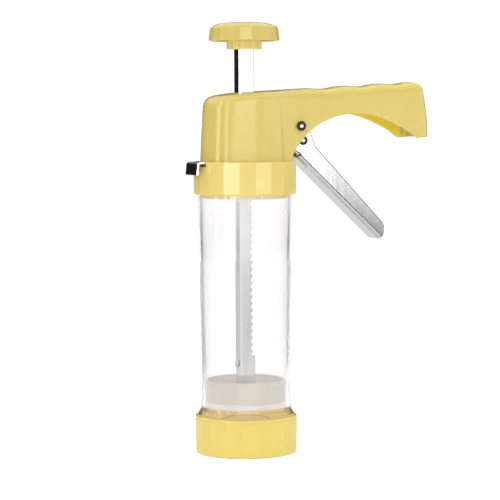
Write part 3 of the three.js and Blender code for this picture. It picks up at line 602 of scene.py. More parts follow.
def pattern_disc():
    disc_r = extent("pattern_disc", 0)[1]
    edge = [(disc_r * x, disc_r * y) for x, y in round_outline(128)]
    disc = prism("flower_disc", edge, DISC_BOTTOM, DISC_TOP, 0.25)
    cutters = []
    for i in range(PETALS):
        turn = 2 * math.pi * i / PETALS
        petal = []
        for k in range(PETAL_STEPS):
            a = 2 * math.pi * k / PETAL_STEPS
            along = 11.0 + 6.5 * math.cos(a)
            across = 2.4 * math.sin(a) * (1 + 0.35 * math.cos(a))
            petal.append(turned(along, across, turn))
        cutters.append(prism(f"petal_{i}", petal, DISC_BOTTOM - 1, DISC_TOP + 1))
    return combined(disc, cutters)


dress(pattern_disc(), "disc", "disc", "white_plastic", "pattern_disc")

# ---- barrel ----
TUBE_BOTTOM, TUBE_TOP = extent("barrel_tube", 2)
TUBE_FOOT_R = 29.9
TUBE_LOW_R = 27.4
TUBE_HIGH_R = 29.0
BORE_LOW_R = 25.4
BORE_HIGH_R = 26.7
TAPER = (50.0, 158.0)  # heights where the barrel's taper starts and ends
LUGS = 3
LUG_IN_R, LUG_OUT_R = 28.0, 30.0
LUG_HALF_IN, LUG_HALF_OUT = 6.0, 5.6
LUG_BOTTOM, LUG_TOP = 167.4, 169.8
ROUND = round_outline(160)


def barrel():
    low, high = TAPER
    outside = rounded([
        (TUBE_FOOT_R, TUBE_BOTTOM, 0.4), (TUBE_FOOT_R, RING_TOP + 0.9, 0.5),
        (TUBE_LOW_R + 0.5, RING_TOP + 4.4, 5.0), (TUBE_LOW_R, low, 0), (TUBE_HIGH_R, high, 0),
        (TUBE_HIGH_R, TUBE_TOP, 0.4), (BORE_HIGH_R, TUBE_TOP, 0.4), (BORE_HIGH_R, high, 0),
        (BORE_LOW_R, low, 0), (BORE_LOW_R, TUBE_BOTTOM, 0.4),
    ], steps=6)
    tube = lathe("clear_tube", outside, ROUND)
    lugs = []
    for i in range(LUGS):
        a = 2 * math.pi * i / LUGS
        outline = rounded([
            (*turned(LUG_IN_R, -LUG_HALF_IN, a), 0), (*turned(LUG_OUT_R, -LUG_HALF_OUT, a), 0.6),
            (*turned(LUG_OUT_R, LUG_HALF_OUT, a), 0.6), (*turned(LUG_IN_R, LUG_HALF_IN, a), 0),
        ])
        lugs.append(prism(f"lug_{i}", outline, LUG_BOTTOM, LUG_TOP, 0.2))
    return combined(tube, lugs, "UNION")


dress(barrel(), "clear", "barrel", "clear_plastic", "barrel_tube", weighted=False)

# ---- collar ----
SPIGOT_BOTTOM, COLLAR_TOP = extent("collar", 2)
COLLAR_R = extent("collar", 0)[1] / math.cos(math.pi / FACETS)
COLLAR_BOTTOM = 159.9
SKIRT_BORE_R = 29.4
PLATE_SLOT_HALF = 10.9
COLLAR_FLOOR = 177.2
COLLAR_CEILING = 173.0
SPIGOT_R = 26.25
SPIGOT_BORE_R = 23.8
BODY_SEAT_R = 24.8
LUG_GROOVE = (30.35, 166.8, 170.4)  # radius, bottom and top
ROD_X = extent("toothed_rod", 0)
ROD_Y = extent("toothed_rod", 1)
ROD_PLAY = 0.8
POSTS = [(-12.0, -15.4), (-12.0, 15.4), (11.0, -16.1), (11.0, 16.1)]


def rod_way(name, z0, z1, gap=ROD_PLAY, corner=0.6):
    """The rod's section with a gap round it."""
    (x0, x1), (y0, y1) = ROD_X, ROD_Y
    return block(name, x0 - gap, x1 + gap, y0 - gap, y1 + gap, z0, z1, corner)


def collar():
    outside = open_line([
        (SKIRT_BORE_R + 0.6, COLLAR_BOTTOM, 0), (COLLAR_R, COLLAR_BOTTOM, 1.9),
        (COLLAR_R, COLLAR_TOP, 0.35), (BODY_SEAT_R, COLLAR_TOP, 0),
    ], steps=6)
    groove_r, groove_low, groove_high = LUG_GROOVE
    inside = open_line([
        (27, COLLAR_TOP, 0), (BODY_SEAT_R, COLLAR_TOP, 0.25), (BODY_SEAT_R, COLLAR_FLOOR, 0.4),
        (0.5, COLLAR_FLOOR, 0), (0.5, COLLAR_CEILING, 0), (SPIGOT_BORE_R, COLLAR_CEILING, 0.5),
        (SPIGOT_BORE_R, SPIGOT_BOTTOM, 0.3), (SPIGOT_R, SPIGOT_BOTTOM, 0.5),
        (SPIGOT_R, COLLAR_CEILING, 0.2), (SKIRT_BORE_R, COLLAR_CEILING, 0.2),
        (SKIRT_BORE_R, groove_high, 0.2), (groove_r, groove_high, 0.2), (groove_r, groove_low, 0.2),
        (SKIRT_BORE_R, groove_low, 0.2), (SKIRT_BORE_R, COLLAR_BOTTOM, 0.5),
        (COLLAR_R, COLLAR_BOTTOM, 0),
    ])
    made = lathe("faceted_collar", outside + inside, FACETED, bore_from=len(outside))
    tools = [
        block("slot", -40, -10, -PLATE_SLOT_HALF, PLATE_SLOT_HALF, COLLAR_FLOOR, COLLAR_TOP + 2),
        rod_way("collar_rod_way", 170, 179),
    ]
    for i, (x, y) in enumerate(POSTS):
        tools.append(rod_between(f"screw_way_{i}", (x, y, 171), (x, y, 179), 2.0))
    return combined(made, tools)


# faces that get the spigot's painted-light copy of the collar's yellow
def on_spigot(x, y, z):
    return z < COLLAR_CEILING - 0.1 and math.hypot(x, y) < SPIGOT_R + 0.35


dress(collar(), "collar", "body", "body_plastic", "collar", second=("spigot", on_spigot))

# ---- body moulding ----
SHELL_BOTTOM, _ = extent("body_shell", 2)
SHELL_R = 27.6
SHELL_R_DRAFT = 0.055
HANDLE_HALF = 15.5
HANDLE_DRAFT = 0.03
DRAFT_LEVEL = 201.7
HANDLE_END = 119.9
HANDLE_END_CURVE = 0.0039
HANDLE_END_LEVEL = 196.0
END_CORNER_R = 6.0
BLEND_R = 22.0
TOP_AT_AXIS = 222.8
TOP_SLOPE = 0.0575
TOP_FALL_START = -4.0
TOP_FALL = 0.0042
TOP_EDGE_R = 5.0
GRIP_CRESTS = (37.8, 65.0, 88.6, 112.1)
GRIP_DEPTH = 1.05
ROOF_CROWN = 0.7  # the roof's middle stands this far above its borders
WALL = 2.4
CAVITY_END = HANDLE_END - WALL
CAVITY_EDGE_R = 3.0
RIM_R = 0.5
ARCH = [
    (24.4, 179.0), (25.7, 184.0), (29.6, 189.8), (34.6, 195.6), (40.2, 200.4), (47.0, 204.3),
    (56.0, 207.5), (67.5, 209.2), (79.0, 208.3), (89.5, 205.3), (99.5, 200.9), (106.0, 197.1),
    (111.0, 193.5),
]
ARCH_PAST_END = (HANDLE_END + 4, 194.7)
ARCH_LINE = np.vstack([smooth_line(ARCH), [ARCH_PAST_END]])


def underside(x):
    """Height of the moulding's lower edge at X: level round the barrel, then the handle's arch."""
    arch = np.interp(x, ARCH_LINE[:, 0], ARCH_LINE[:, 1], left=0)
    return np.maximum(SHELL_BOTTOM, arch)


def plain_top(x):
    """Height of the roof without its dips: a straight rise that falls away at the round end."""
    x = np.asarray(x, float)
    return TOP_AT_AXIS + TOP_SLOPE * x - TOP_FALL * np.maximum(TOP_FALL_START - x, 0) ** 2


def grip_top(x):
    """Height of the outer top surface's middle, with three finger dips."""
    height = plain_top(x)
    for a, b in zip(GRIP_CRESTS, GRIP_CRESTS[1:]):
        part = np.clip((np.asarray(x, float) - a) / (b - a), 0, 1)
        height = height - GRIP_DEPTH * np.sin(np.pi * part) ** 2
    return height


def border_top(x):
    return grip_top(x) - ROOF_CROWN


def crown(x, y):
    """How far the roof stands above its border's height."""
    across = max(0.0, 1 - (y / (HANDLE_HALF - TOP_EDGE_R)) ** 2)
    fade_in = min(max((x + SHELL_R - TOP_EDGE_R) / 12, 0.0), 1.0)
    fade_out = min(max((HANDLE_END - TOP_EDGE_R - x) / 7, 0.0), 1.0)
    return ROOF_CROWN * across * fade_in * fade_out


ROUND_COLS, BLEND_COLS, SIDE_COLS, CORNER_COLS, END_COLS = 64, 36, 150, 10, 6


def column_spans():
    """The columns of each stretch of the outline, with each column's share of its stretch."""
    at = 0
    for count in (ROUND_COLS, BLEND_COLS, SIDE_COLS, CORNER_COLS, END_COLS):
        columns = count + (count == END_COLS)
        yield slice(at, at + columns), np.arange(columns) / count
        at += columns


def plan_points(radius, half, end, corner, blend):
    """One side (Y >= 0) of the plan outline. The arguments are arrays over the columns."""
    blend_x = np.sqrt((radius + blend) ** 2 - (half + blend) ** 2)
    meet = np.arctan2(half + blend, blend_x)
    x, y = np.zeros_like(radius), np.zeros_like(radius)
    spans = column_spans()
    s, part = next(spans)
    a = np.pi + (meet[s] - np.pi) * part
    x[s], y[s] = radius[s] * np.cos(a), radius[s] * np.sin(a)
    s, part = next(spans)
    a = np.pi + meet[s] + (np.pi / 2 - meet[s]) * part
    x[s] = blend_x[s] + blend[s] * np.cos(a)
    y[s] = half[s] + blend[s] + blend[s] * np.sin(a)
    s, part = next(spans)
    x[s] = blend_x[s] + (end[s] - corner[s] - blend_x[s]) * part
    y[s] = half[s]
    s, part = next(spans)
    a = np.pi / 2 * (1 - part)
    x[s] = end[s] - corner[s] + corner[s] * np.cos(a)
    y[s] = half[s] - corner[s] + corner[s] * np.sin(a)
    s, part = next(spans)
    x[s] = end[s]
    y[s] = (half[s] - corner[s]) * (1 - part)
    return x, y


COLUMNS = ROUND_COLS + BLEND_COLS + SIDE_COLS + CORNER_COLS + END_COLS + 1
STRIP_COLS = COLUMNS - END_COLS  # columns that have a partner across the roof


class Wall:
    """The outer face of the moulding (wall 0) or its cavity, as points over column and height."""

    def __init__(self, wall, edge_r, top, end):
        self.wall, self.edge_r, self.top, self.end = wall, edge_r, top, end

    def at(self, z, inset=0.0):
        """Points of all columns at heights z (an array), drawn in by inset."""
        radius = SHELL_R - SHELL_R_DRAFT * (z - SHELL_BOTTOM) - self.wall - inset
        half = HANDLE_HALF - HANDLE_DRAFT * (z - DRAFT_LEVEL) - self.wall - inset
        rise = np.maximum(z - HANDLE_END_LEVEL, 0)
        end = self.end - HANDLE_END_CURVE * rise**2 - inset
        corner = np.maximum(END_CORNER_R - inset, 1.0) + 0 * z
        return plan_points(radius, half, end, corner, BLEND_R + self.wall + inset + 0 * z)

    def settle(self, height_of, inset=0.0):
        """Points whose height is a function of their own X."""
        z = np.full(COLUMNS, SHELL_BOTTOM + 20.0)
        for _ in range(12):
            x, y = self.at(z, inset)
            z = height_of(x)
        return np.stack([x, y, z], axis=1)

    def edge_height(self, x):
        return self.top(x) - self.wall - self.edge_r

    def rim(self):
        return self.settle(underside)

    def rings(self, rim_lift, levels, edge_steps):
        """Rings from just above the rim to the roof's border."""
        rim = self.rim()
        low = rim[:, 2] + rim_lift
        made = []
        for part in levels:
            z = low.copy()
            for _ in range(6):
                x, y = self.at(z)
                z = low + part * (self.edge_height(x) - low)
            made.append(np.stack([x, y, z], axis=1))
        for k in range(1, edge_steps + 1):
            a = math.pi / 2 * k / edge_steps
            inset = self.edge_r * (1 - math.cos(a))
            rise = self.edge_r * math.sin(a)
            made.append(self.settle(lambda x, up=rise: self.edge_height(x) + up, inset))
        return made


def turned_rim(start, rim, end, steps=4):
    """A small round from a point on the wall, by the rim's sharp corner, to a point on the rim."""
    made = []
    for k in range(1, steps):
        t = k / steps
        made.append((1 - t) ** 2 * start + 2 * t * (1 - t) * rim + t**2 * end)
    return made


def body_moulding():
    outer = Wall(0.0, TOP_EDGE_R, border_top, HANDLE_END)
    inner = Wall(WALL, CAVITY_EDGE_R, plain_top, CAVITY_END)
    rim_out, rim_in = outer.rim(), inner.rim()

    def lift(rim):
        slope = unit_rows(np.gradient(rim, axis=0))[:, 2]
        return RIM_R / np.sqrt(np.maximum(1 - slope**2, 0.04))

    def across(part):
        """A ring between the two rims, on the underside's own surface."""
        ring = rim_out + part * (rim_in - rim_out)
        ring[:, 2] = underside(ring[:, 0])
        return ring

    levels = np.linspace(0, 1, 22) ** 1.25
    walls_out = outer.rings(lift(rim_out), levels, 10)
    walls_in = inner.rings(lift(rim_in), levels[::3], 6)
    near_out = rim_out + RIM_R * unit_rows(across(0.15) - rim_out)
    near_in = rim_in + RIM_R * unit_rows(across(0.85) - rim_in)
    middle = [across(part) for part in (0.35, 0.5, 0.65)]
    rings = [
        *walls_out[::-1], *turned_rim(walls_out[0], rim_out, near_out), near_out, *middle, near_in,
        *turned_rim(walls_in[0], rim_in, near_in)[::-1], *walls_in,
    ]
    points = []
    loop = 2 * (COLUMNS - 1)
    for ring in rings:
        mirrored = ring[1:-1][::-1] * [1, -1, 1]
        points += map(tuple, [*ring, *mirrored])
    faces = ring_faces(len(rings), loop, closed=False)
    for ring_at, ring in ((0, rings[0]), (len(rings) - 1, rings[-1])):
        strips = 2 * END_COLS
        grid = {}
        for i in range(1, STRIP_COLS):
            for j in range(strips + 1):
                if j == 0:
                    grid[i, j] = ring_at * loop + i
                elif j == strips:
                    grid[i, j] = ring_at * loop + loop - i
                elif i == STRIP_COLS - 1:
                    grid[i, j] = ring_at * loop + i + j
                else:
                    x, y, z = ring[i]
                    y = y * (1 - 2 * j / strips)
                    grid[i, j] = len(points)
                    points.append((x, y, z + (crown(x, y) if ring_at == 0 else 0)))
        tip = ring_at * loop
        for j in range(strips):
            faces.append((tip, grid[1, j], grid[1, j + 1]))
            for i in range(1, STRIP_COLS - 1):
                faces.append((grid[i, j], grid[i + 1, j], grid[i + 1, j + 1], grid[i, j + 1]))
    shell = mesh_object("body_moulding", points, faces)
    pivot_way = cross_bar("pivot_way", *spot_of("pivot_rivet"), 2.45, 22)
    return combined(shell, [rod_way("roof_way", 214, 228), pivot_way], angle=38)


# faces inside the handle that get the cavity's painted shade-and-glow copy of the body's yellow
def in_handle_cavity(x, y, z):
    deep = 1.9
    half = HANDLE_HALF - HANDLE_DRAFT * (z - DRAFT_LEVEL)
    return (
        SHELL_R - 2 < x < CAVITY_END - 5
        and abs(y) < half - deep
        and z < plain_top(x) - deep
        and z > underside(x) + 0.05
    )


dress(
    body_moulding(), "body", "body", "body_plastic", "body_shell",
    second=("inside", in_handle_cavity), weighted=False,
)

for index, (px, py) in enumerate(POSTS, start=1):
    foot, head = (px, py, COLLAR_FLOOR + 0.3), (px, py, grip_top(px) - 1.9)
    post = rod_between(f"screw_post_{index}", foot, head, 3.2)
    pilot = rod_between("pilot", (px, py, 170), (px, py, 191), 1.8)
    dress(combined(post, [pilot]), "body", "body", "body_plastic")
for index, side in enumerate((-1, 1), start=1):
    near, far = sorted((9.3 * side, 11.3 * side))
    rib = block(f"guide_rib_{index}", -11, 7, near, far, 211, 221.2, corner=0.4, bevel=0.3)
    dress(rib, "body", "body", "body_plastic")

# ---- rivets, washers and pins ----
SPIN = round_outline(48)


def along_y(x, z):
    """Stands a piece made along Z at the origin along Y, at the press's (x, z)."""
    return Matrix.Translation((x * MM + AXIS_X, 0, z * MM)) @ Matrix.Rotation(math.pi / 2, 4, "X")


def moved(piece, matrix):
    """Moves a piece made on the press's axis, keeping its place in its mesh."""
    piece.data.transform(Matrix.Translation((-AXIS_X, 0, 0)))
    piece.data.transform(matrix)
    return piece


def rivet(name, node, shank_r, head_r, head_in, head_out):
    """A shank with a dished, turned head on each end."""
    roll = 0.29 * head_r
    dish = head_out - 0.5
    half = rounded([
        (shank_r, 0, 0), (shank_r, head_in, 0.1), (head_r, head_in, 0.15), (head_r, head_out, roll),
        (head_r - 2 * roll, head_out, roll), (head_r - 2 * roll - 0.1, dish, 0.12),
        (0.3 * head_r, dish, 0.1), (0.22 * head_r, dish - 0.25, 0.1), (0.02, dish - 0.25, 0),
    ], steps=6, closed=False)[1:]
    profile = half + [(r, -z) for r, z in reversed(half)]
    made = lathe(name, profile, SPIN, angle=40)
    # the rolled rim takes the near-black steel: painted shade for the dark ring round each head
    second_look(made, "sheared_painted_shade", lambda x, y, z: math.hypot(x, y) > head_r - 2 * roll - 0.05)
    return moved(made, along_y(*spot_of(node)))


for pin, look, body, slot, *sizes in (
    ("pivot_rivet", "chrome", "body", "polished_steel", 2.2, 2.95, 16.0, 17.2),
    ("lever_rivet", "chrome", "lever", "polished_steel", 1.6, 2.85, 9.1, 10.2),
    ("pawl_pin", "zinc", "lever", "fastener_steel", 1.5, 2.3, 9.1, 9.9),
):
    dress(rivet(f"{pin}_heads", pin, *sizes), look, body, slot, pin)

# ---- lever ----
LEVER_HALF = 9.0
LEVER_WALL = 1.2
LEVER_BEND_R = 3.0
WEB_TOP = np.array([28.0, 185.7])
WEB_TIP = np.array([87.3, 130.1])
PIVOT, RIVET, PAWL_PIN = spot_of("pivot_rivet"), spot_of("lever_rivet"), spot_of("pawl_pin")


def arc(cx, cy, radius, start, end, steps):
    """Points round (cx, cy) from a start to an end angle in degrees."""
    made = []
    for i in range(steps + 1):
        x, y = polar(radius, math.radians(start + (end - start) * i / steps))
        made.append((cx + x, cy + y))
    return made


def trigger_lever():
    """A U channel of sheet steel, its cheeks carried on to the pivot and the pawl's pin."""
    along = (WEB_TIP - WEB_TOP) / np.linalg.norm(WEB_TIP - WEB_TOP)
    w, t, r = LEVER_HALF, LEVER_WALL, LEVER_BEND_R
    depth = 30.0
    section = (
        [(depth, -w)]
        + arc(r, -w + r, r, 270, 180, 10)
        + arc(r, w - r, r, 180, 90, 10)
        + [(depth, w), (depth, w - t)]
        + arc(r, w - r, r - t, 90, 180, 10)
        + arc(r, -w + r, r - t, 180, 270, 10)
        + [(depth, -w + t)]
    )
    out = np.array([-along[1], along[0]])
    points = []
    for here in (WEB_TIP + 8 * along, WEB_TOP - 42 * along):
        for u, v in section:
            x, z = here + out * u
            points.append((x, v, z))
    channel = mesh_object("squeeze_lever", points, bar_faces(2, len(section)))
    ax, az = PIVOT
    cx, cz = PAWL_PIN
    crank = [
        (44, 188.7, 4.0), (40.6, 197.5, 3.0), (ax + 8.4, az - 1.0, 2.0), (ax + 4.6, az + 8.6, 5.5),
        (cx + 2, cz + 4.4, 1.5), (cx - 4.4, cz + 4.4, 4.0), (cx - 4.4, cz - 4.4, 4.0),
        (cx + 4, cz - 4.4, 2.0), (ax - 8, az - 4.5, 2.0), (ax - 5.5, az - 9.5, 2.0),
    ]
    grip = [(*WEB_TOP, 0), (*WEB_TIP, 1.0), (90.4, 132.6, 3.5), (90.6, 139.7, 4.0)]
    edge = rounded(grip + crank, steps=8)
    arm = combined(channel, [prism("lever_outline", edge, -w - 1, w + 1, side=True)], "INTERSECT")
    cheek_line = rounded([(27.4, 190.6, 0), (34, 184, 0), *crank], steps=8)
    cheeks = [prism("cheek", cheek_line, y, y + t, side=True) for y in (-w, w - t)]
    arm = combined(arm, cheeks, "UNION")
    sizes = ((PIVOT, 2.4), (RIVET, 1.8), (PAWL_PIN, 1.7))
    return combined(arm, [cross_bar("hole", *spot, radius, 12) for spot, radius in sizes])


lever = trigger_lever()


def broken_edges(piece, width, look=None, angle=50, clamp=True, harden=True):
    """Small rounds on a piece's sharp edges, with a material of their own if one is named."""
    soft = piece.modifiers.new("edge_break", "BEVEL")
    soft.limit_method = "ANGLE"
    soft.angle_limit = math.radians(angle)
    soft.width = width * MM
    soft.segments = 2
    soft.harden_normals = harden
    soft.use_clamp_overlap = clamp
    if look:
        piece["second"] = look
        soft.material = 1


# the lever's edge rounds take the near-black steel: painted dark edge lines
broken_edges(lever, 0.58, "sheared_painted_shade", clamp=False, harden=False)
dress(lever, "steel", "lever", "lever_steel", "trigger_lever")


# ---- springs ----
def lever_spring():
    ax, az = PIVOT
    coil_r, turns = 4.1, 3
    path = [(RIVET[0] + 2.6, -3.2, RIVET[1] + 1.4), (RIVET[0] - 1.4, -3.1, az - coil_r - 0.4)]
    for i in range(turns * 16 + 1):
        x, z = polar(coil_r, 2 * math.pi * i / 16 - math.pi / 2)
        path.append((ax + x, -3 + 6 * i / (turns * 16), az + z))
    path += [(ax + 4.5, 3.1, az - coil_r + 0.4), (ax + 13, 3.2, az + 4), (ax + 22, 3.2, az + 12)]
    return wire("return_spring", path, 0.6)


dress(lever_spring(), "zinc", "body", "fastener_steel", "lever_spring", weighted=False)


def plate_spring():
    x0, x1 = extent("plate_spring", 0)
    z = sum(extent("plate_spring", 2)) / 2
    turns = 4
    path = []
    for i in range(turns * 14 + 1):
        y, up = polar(0.95, 2 * math.pi * i / 14)
        path.append((x0 + 0.3 + (x1 - x0 - 0.6) * i / (turns * 14), y, z + up))
    return wire("plate_coil", path, 0.22, sides=8, samples=2)


dress(plate_spring(), "zinc", "body", "fastener_steel", "plate_spring", weighted=False)

# ---- release plate ----
PLATE_THICK = 1.2
TAB_LEAN = 0.7


def release_plate():
    (tip, right), (near, far), (low, top) = (extent("release_plate", axis) for axis in range(3))
    t, bend = PLATE_THICK, tip + TAB_LEAN
    outline = rounded([
        (right, top - t, 0.2), (right, top, 0.2), (bend, top, 1.7), (tip, low, 0.45),
        (tip + t, low, 0.45), (bend + t, top - t, 0.5),
    ], steps=8)
    plate = prism("release_tab", outline, near, far, 0.25, side=True)
    window = block("plate_window", -9.2, 3.8, -4.9, 4.9, top - 3, top + 1, corner=0.4)
    return combined(plate, [window])


dress(release_plate(), "chrome", "release_plate", "polished_steel", "release_plate")

# ---- rod ----
ROD_BOTTOM, ROD_TOP = extent("toothed_rod", 2)
ROD_WALL = 1.2
ROD_CORNER = 0.9
TOOTH_TIP = 3.3
TOOTH_VALLEY = 1.8
TOOTH_PITCH = 4.25
TOOTH_START = 60.0
TOOTH_COUNT = 37
FOOT_RIVET_Z = 55.0
KNOB_PIN = (0.5, 256.6)


def toothed_rod():
    back, front = ROD_X
    half = ROD_Y[1]
    section = (
        [(front, -half), (front, -half + ROD_WALL), (back + ROD_WALL, -half + ROD_WALL)]
        + [(back + ROD_WALL, half - ROD_WALL), (front, half - ROD_WALL), (front, half)]
        + arc(back + ROD_CORNER, half - ROD_CORNER, ROD_CORNER, 90, 180, 8)
        + arc(back + ROD_CORNER, -half + ROD_CORNER, ROD_CORNER, 180, 270, 8)
    )
    channel = prism("rack_rod", section, ROD_BOTTOM, ROD_TOP)
    away = [(front + 2, TOOTH_START, 0)]
    for i in range(TOOTH_COUNT):
        z = TOOTH_START + i * TOOTH_PITCH
        away.append((TOOTH_VALLEY, z, 0.25))
        away.append((TOOTH_TIP, z + 0.62 * TOOTH_PITCH, 0.2))
        away.append((TOOTH_TIP, z + 0.72 * TOOTH_PITCH, 0.2))
    end = TOOTH_START + TOOTH_COUNT * TOOTH_PITCH
    away += [(TOOTH_VALLEY, end, 0.25), (front + 2, end, 0)]
    tools = [
        prism("teeth_away", rounded(away, steps=3), -6, 6, side=True),
        rod_between("foot_way", (back - 1, 0, FOOT_RIVET_Z), (0, 0, FOOT_RIVET_Z), 1.5),
        cross_bar("pin_way", *KNOB_PIN, 1.5, 6),
    ]
    return combined(channel, tools, angle=28)


rod = toothed_rod()
# the rod's edge rounds take the near-black steel: painted dark edge lines
broken_edges(rod, 0.2, "sheared_painted_shade", 60)
dress(rod, "rod", "rod", "rod_steel", "toothed_rod", weighted=False)


def foot_rivet():
    back = ROD_X[0]
    profile = rounded([
        (0.02, 0, 0), (1.3, 0, 0.2), (1.3, 1.8 - back + 0.3, 0.05), (2.4, 1.8 - back + 0.3, 0.15),
        (2.4, 1.8 - back + 1.0, 0.5), (1.2, 1.8 - back + 1.6, 1.2), (0.02, 1.8 - back + 1.6, 0),
    ], closed=False)
    made = lathe("foot_rivet_head", profile, SPIN, angle=40)
    turn = Matrix.Rotation(-math.pi / 2, 4, "Y")
    return moved(made, Matrix.Translation((1.8 * MM + AXIS_X, 0, FOOT_RIVET_Z * MM)) @ turn)


dress(foot_rivet(), "zinc", "rod", "fastener_steel", "foot_rivet")

# ---- piston ----
CUP_BOTTOM, CUP_TOP = extent("piston_cup", 2)
SEAL_BOTTOM, SEAL_TOP = extent("piston_seal", 2)
PISTON_R = extent("piston_cup", 1)[1]
PISTON_HOLE_R = 2.1
CUP_WALL = 1.6
CUP_FLOOR = CUP_BOTTOM + 2.3


def piston_cup():
    profile = rounded([
        (PISTON_HOLE_R, CUP_BOTTOM, 0.1), (PISTON_R, CUP_BOTTOM, 0.6), (PISTON_R, CUP_TOP, 0.5),
        (PISTON_R - CUP_WALL, CUP_TOP, 0.5), (PISTON_R - CUP_WALL, CUP_FLOOR, 1.2),
        (PISTON_HOLE_R, CUP_FLOOR, 0.2),
    ], steps=6)
    return lathe("piston_bowl", profile, ROUND)


# faces that get the piston's darker painted-shade copy
def in_cup(x, y, z):
    return CUP_BOTTOM + 1 < z < CUP_TOP - 0.2 and math.hypot(x, y) < PISTON_R - 1.3


dress(
    piston_cup(), "piston", "rod", "piston_plastic", "piston_cup", second=("piston_inside_painted_shade", in_cup)
)


def piston_seal():
    radius = PISTON_R - 0.1
    corners = [(PISTON_HOLE_R, SEAL_BOTTOM, 0.1), (radius - 0.1, SEAL_BOTTOM, 0.35)]
    for k in range(3):
        z = SEAL_BOTTOM + 0.55 + 0.9 * k
        corners += [(radius, z, 0.12), (radius, z + 0.3, 0.12)]
        corners += [(radius - 0.35, z + 0.5, 0.12), (radius - 0.35, z + 0.7, 0.12)]
    corners += [(radius, SEAL_TOP - 0.2, 0.1), (radius - 0.2, SEAL_TOP, 0.1)]
    corners.append((PISTON_HOLE_R, SEAL_TOP, 0.1))
    return lathe("piston_lip_seal", rounded(corners, steps=3), ROUND)


dress(piston_seal(), "seal", "rod", "seal_plastic", "piston_seal")

# ---- knob ----
BOSS_BOTTOM, KNOB_TOP = extent("knob", 2)
KNOB_LOW_R = extent("knob", 0)[1] / math.cos(math.pi / FACETS)
KNOB_BOTTOM = 253.9
KNOB_SHOULDER = 262.3
KNOB_HIGH_R = 20.9
KNOB_BORE_R = 19.4
KNOB_CEILING = 261.6
BOSS_R = 10.6
BOSS_FLUTES = 10
FLUTE_STEPS = 240
SOCKET_GAP = 0.3


def knob():
    outside = open_line([
        (KNOB_BORE_R, KNOB_BOTTOM, 0), (KNOB_LOW_R, KNOB_BOTTOM, 0.5),
        (KNOB_HIGH_R, KNOB_SHOULDER, 1.6), (KNOB_HIGH_R - 5.5, KNOB_TOP - 0.75, 9.0),
        (9, KNOB_TOP - 0.12, 12.0), (0.3, KNOB_TOP, 0),
    ], steps=7)
    inside = open_line([
        (9, KNOB_TOP, 0), (0.05, KNOB_TOP, 0), (0.05, KNOB_CEILING, 0),
        (KNOB_BORE_R, KNOB_CEILING, 1.2), (KNOB_BORE_R, KNOB_BOTTOM, 0.3), (21, KNOB_BOTTOM, 0),
    ])
    shell = lathe("pull_knob", outside + inside, flat_outline(FACETS, 0.06), len(outside))
    fluted = []
    for i in range(FLUTE_STEPS):
        a = 2 * math.pi * i / FLUTE_STEPS
        fluted.append(polar(BOSS_R - 0.35 + 0.7 * abs(math.cos(BOSS_FLUTES * a / 2)) ** 0.8, a))
    boss = prism("knob_boss", fluted, BOSS_BOTTOM, KNOB_CEILING + 0.5, 0.35, angle=50)
    shell = combined(shell, [boss], "UNION")
    tools = [
        rod_way("knob_socket", BOSS_BOTTOM - 1, ROD_TOP + SOCKET_GAP, SOCKET_GAP, 0),
        cross_bar("knob_pin_way", *KNOB_PIN, 1.5, 12),
    ]
    return combined(shell, tools)


# faces that get the boss's painted-light copy of the knob's yellow
def on_boss(x, y, z):
    return z < KNOB_CEILING and math.hypot(x, y) < 12


dress(knob(), "knob", "rod", "knob_plastic", "knob", second=("boss", on_boss))

# ---- CAD nodes that stay ----
KEPT = {f"collar_screw_{i}": "zinc" for i in range(1, 5)}
KEPT |= {"rod_guide": "white", "drive_pawl": "steel", "rod_foot": "white"}
KEPT |= {"piston_washer": "zinc", "piston_screw": "zinc", "knob_pin": "zinc"}
for node, look in KEPT.items():
    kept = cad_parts[node]
    kept.data.materials.clear()
    kept.data.materials.append(looks[look])
    broken_edges(kept, 0.15, harden=False)

# ---- floor, light and camera ----
CAMERA_TURN = math.radians(21.5)
CAMERA_AWAY = 1.265
CAMERA_HEIGHT = 0.2098
CAMERA_ASIDE = 0.0030
CAMERA_ROLL = math.radians(0.31)
CAMERA_DOWN = math.atan(137 / 2050)
LENS = 147.6
towards = Vector((math.sin(CAMERA_TURN), math.cos(CAMERA_TURN), 0))
aside = Vector((math.cos(CAMERA_TURN), -math.sin(CAMERA_TURN), 0))


def camera():
    data = bpy.data.cameras.new("camera")
    data.lens = LENS
    data.sensor_width = 36.0
    made = bpy.data.objects.new("camera", data)
    bpy.context.scene.collection.objects.link(made)
    made.location = Vector((AXIS_X, 0, CAMERA_HEIGHT)) + aside * CAMERA_ASIDE
    made.location -= towards * CAMERA_AWAY
    gaze = towards * math.cos(CAMERA_DOWN) - Vector((0, 0, math.sin(CAMERA_DOWN)))
    made.rotation_mode = "QUATERNION"
    roll = Quaternion((0, 0, 1), -CAMERA_ROLL)
    made.rotation_quaternion = gaze.to_track_quat("-Z", "Y") @ roll
    bpy.context.scene.camera = made


camera()

FLOOR_R = 1.6
FLOOR_SIDES = (0.16, 0.3)  # metres aside where the white sweep ends, for reflections only
FLOOR_WEDGE = (0.36, 0.5)  # the same as a share of the distance, for rays through the barrel
FLOOR_FAR = (0.25, 0.45)  # and only beyond this distance from the press


